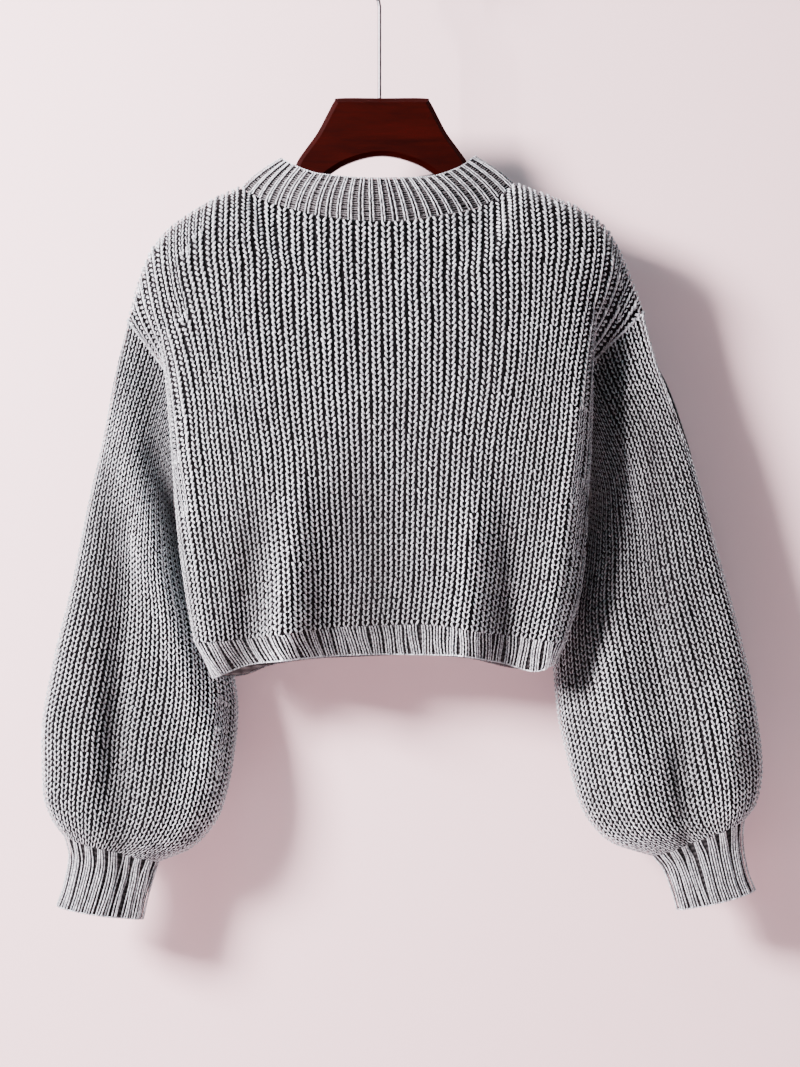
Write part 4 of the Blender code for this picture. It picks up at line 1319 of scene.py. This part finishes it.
def add_hanger():
    """The hanger's board, chamfered all round on its front and its back."""
    half = np.array(HANGER_HALF, float)
    outline = np.concatenate([half, half[-2:0:-1] * (-1, 1)]) + (HANGER_X, 0)
    narrow = rounded(inset(outline, HANGER_CHAMFER), HANGER_OUTLINE_STEPS)
    outline = rounded(outline, HANGER_OUTLINE_STEPS)
    front, back = HANGER_Y - HANGER_THICK / 2, HANGER_Y + HANGER_THICK / 2
    shape = bmesh.new()
    rings = []
    for points, y in (
        (narrow, front),
        (outline, front + HANGER_CHAMFER_DEPTH),
        (outline, back - HANGER_CHAMFER_DEPTH),
        (narrow, back),
    ):
        rings.append([shape.verts.new((x * MM, y * MM, z * MM)) for x, z in points])
    count = len(outline)
    for low, high in zip(rings[:-1], rings[1:]):
        for a in range(count):
            b = (a + 1) % count
            shape.faces.new((low[a], low[b], high[b], high[a]))
    shape.faces.new(rings[0])
    shape.faces.new(rings[-1])
    bmesh.ops.recalc_face_normals(shape, faces=shape.faces)
    mesh = bpy.data.meshes.new("wooden_hanger")
    shape.to_mesh(mesh)
    shape.free()
    mesh.materials.append(wood_material())
    mesh.shade_smooth()
    mesh.set_sharp_from_angle(angle=math.radians(HANGER_SHARP_ANGLE))
    made = add_object("wooden_hanger", mesh)
    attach(made, "root")
    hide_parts("hanger_body")


def finish_hook():
    """The hook keeps its own shape and gets the wire's looks."""
    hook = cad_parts["hanger_hook"]
    hook.data.materials.clear()
    hook.data.materials.append(wire_material())


# ---------------------------------------------------------------- stage, camera and light
def plane(name, corners, material):
    """A flat side of the stage."""
    mesh = bpy.data.meshes.new(name)
    mesh.from_pydata(corners, [], [(0, 1, 2, 3)])
    mesh.materials.append(material)
    add_object(name, mesh)


def add_stage():
    half, foot, top, wall = STAGE_HALF, STAGE_FLOOR, STAGE_TOP, STAGE_WALL
    plane(
        "floor",
        [(-half, -half, foot), (half, -half, foot), (half, half, foot), (-half, half, foot)],
        stage_material("pale_floor", FLOOR_COLOUR, False),
    )
    plane(
        "backdrop",
        [(-half, wall, foot), (half, wall, foot), (half, wall, top), (-half, wall, top)],
        stage_material("pale_backdrop", WALL_COLOUR, True),
    )


def add_camera():
    data = bpy.data.cameras.new("camera")
    data.lens = LENS
    data.sensor_fit = "HORIZONTAL"
    data.sensor_width = SENSOR
    data.clip_end = CAMERA_REACH
    made = add_object("camera", data)
    made.location = (CAMERA_X, -CAMERA_DISTANCE, CAMERA_Z)
    made.rotation_euler = (math.radians(90), 0, 0)
    bpy.context.scene.camera = made


def add_light():
    for name, place, aim, size, power, colour in LIGHTS:
        data = bpy.data.lights.new(name, "AREA")
        data.shape = "RECTANGLE"
        data.size, data.size_y = size
        data.energy = power
        data.color = colour
        data.spread = math.radians(LIGHT_SPREAD)
        made = add_object(name, data)
        made.location = place
        towards = mathutils.Vector(aim) - made.location
        made.rotation_euler = towards.to_track_quat("-Z", "Y").to_euler()
    world = bpy.data.worlds.new("soft_room")
    world.use_nodes = True
    background = world.node_tree.nodes["Background"]
    background.inputs["Color"].default_value = WORLD_COLOUR
    background.inputs["Strength"].default_value = WORLD_STRENGTH
    bpy.context.scene.world = world


# ---------------------------------------------------------------- the sweater
def add_panels(yarn, recess, inside):
    for name, surface, side in (
        ("front_panel", FRONT_SURFACE, TO_FRONT),
        ("back_panel", BACK_SURFACE, TO_BACK),
    ):
        points = even_grid(surface, PANEL_RIBS, PANEL_RIBS, PANEL_GRID_ROWS)
        cloth = Cloth(name, points, PANEL_RIBS, side)
        made = shell(cloth, PANEL_SHELL_ROWS, [recess, inside])
        stitches = add_stitches(cloth, panel_column, yarn)
        finish_piece(made, name, [stitches])


def add_sleeves(yarn, recess, inside):
    """The sleeves, whose stitches run from the cuff up, and the seams round their armholes."""
    for name, table, folds, edge in (
        ("left_sleeve", LEFT_SLEEVE, LEFT_SLEEVE_FOLDS, 0),
        ("right_sleeve", RIGHT_SLEEVE, RIGHT_SLEEVE_FOLDS, PANEL_RIBS),
    ):
        points = even_grid(tube_surface(table, folds, edge), 1, SLEEVE_RIBS, SLEEVE_GRID_ROWS)
        cloth = Cloth(name, points, SLEEVE_RIBS)
        made = shell(cloth, SLEEVE_SHELL_ROWS, [recess, inside])
        stitches = add_stitches(Cloth(name, points[::-1], SLEEVE_RIBS), even_column, yarn)
        seam = strand_object(name + "_seam", [beaded_roll(cloth, 0, *SEAM_ROLL)], [yarn])
        finish_piece(made, name, [stitches, seam])


def add_fine_rib(cloth, rows, looks, rng, places, bend, bar_sizes=None):
    """A band of fine ribs with a beaded edge, and with bars between its wales if it has them."""
    yarn, painted_shade_bar_yarn, recess, inside = looks
    made = shell(cloth, rows, [recess, inside])
    parts = [
        wales(cloth, places, bend, rng),
        beaded_roll(cloth, len(cloth.points) - 1, *EDGE_ROLL),
    ]
    materials = [yarn, yarn]
    if bar_sizes:
        parts.append(bars(cloth, places[-1][0], 1 + places[0][0], bar_sizes, rng))
        materials.append(painted_shade_bar_yarn)
    stitches = strand_object(cloth.name + "_wales", parts, materials)
    finish_piece(made, cloth.name, [stitches])


def add_sweater():
    yarn = yarn_material("wool_yarn", YARN_LIGHT, YARN_DARK)
    # A darker copy of the yarn for the bars: painted shade
    painted_shade_bar_yarn = yarn_material("wool_yarn_bars_painted_shade", BAR_PAINTED_SHADE_PALE, BAR_PAINTED_SHADE_DEEP)
    # The shell under the stitches and the wales gets a near-black painted shade
    recess = painted_shade_material("knit_recess_painted_shade", RECESS_PAINTED_SHADE_PALE, RECESS_PAINTED_SHADE_DEEP)
    fine_recess_painted_shade = painted_shade_material("fine_recess_painted_shade", FINE_RECESS_PAINTED_SHADE_PALE, RECESS_PAINTED_SHADE_DEEP)
    # The pieces' insides get a darker painted shade
    inside = painted_shade_material("knit_inside_painted_shade", INSIDE_PAINTED_SHADE_PALE, INSIDE_PAINTED_SHADE_DEEP)
    add_panels(yarn, recess, inside)
    add_sleeves(yarn, recess, inside)
    rng = np.random.default_rng(FINE_RIB_SEED)
    looks = yarn, painted_shade_bar_yarn, fine_recess_painted_shade, inside
    for name, table in (("left_cuff", LEFT_CUFF), ("right_cuff", RIGHT_CUFF)):
        points = even_grid(tube_surface(table, ()), 1, CUFF_RIBS, CUFF_GRID_ROWS)
        cloth = Cloth(name, points, CUFF_RIBS)
        add_fine_rib(cloth, CUFF_SHELL_ROWS, looks, rng, CUFF_WALES, CUFF_BEND)
    for name, front, side in (
        ("front_hem_rib", True, TO_FRONT),
        ("back_hem_rib", False, TO_BACK),
    ):
        cloth = Cloth(name, hem_grid(front), HEM_RIBS, side)
        add_fine_rib(cloth, HEM_SHELL_ROWS, looks, rng, HEM_WALES, HEM_BEND)
    cloth = Cloth("neckband", neckband_grid(), NECKBAND_RIBS)
    add_fine_rib(cloth, BAND_SHELL_ROWS, looks, rng, BAND_WALES, BAND_BEND, BAND_BARS)


add_sweater()
add_hanger()
finish_hook()
add_stage()
add_camera()
add_light()
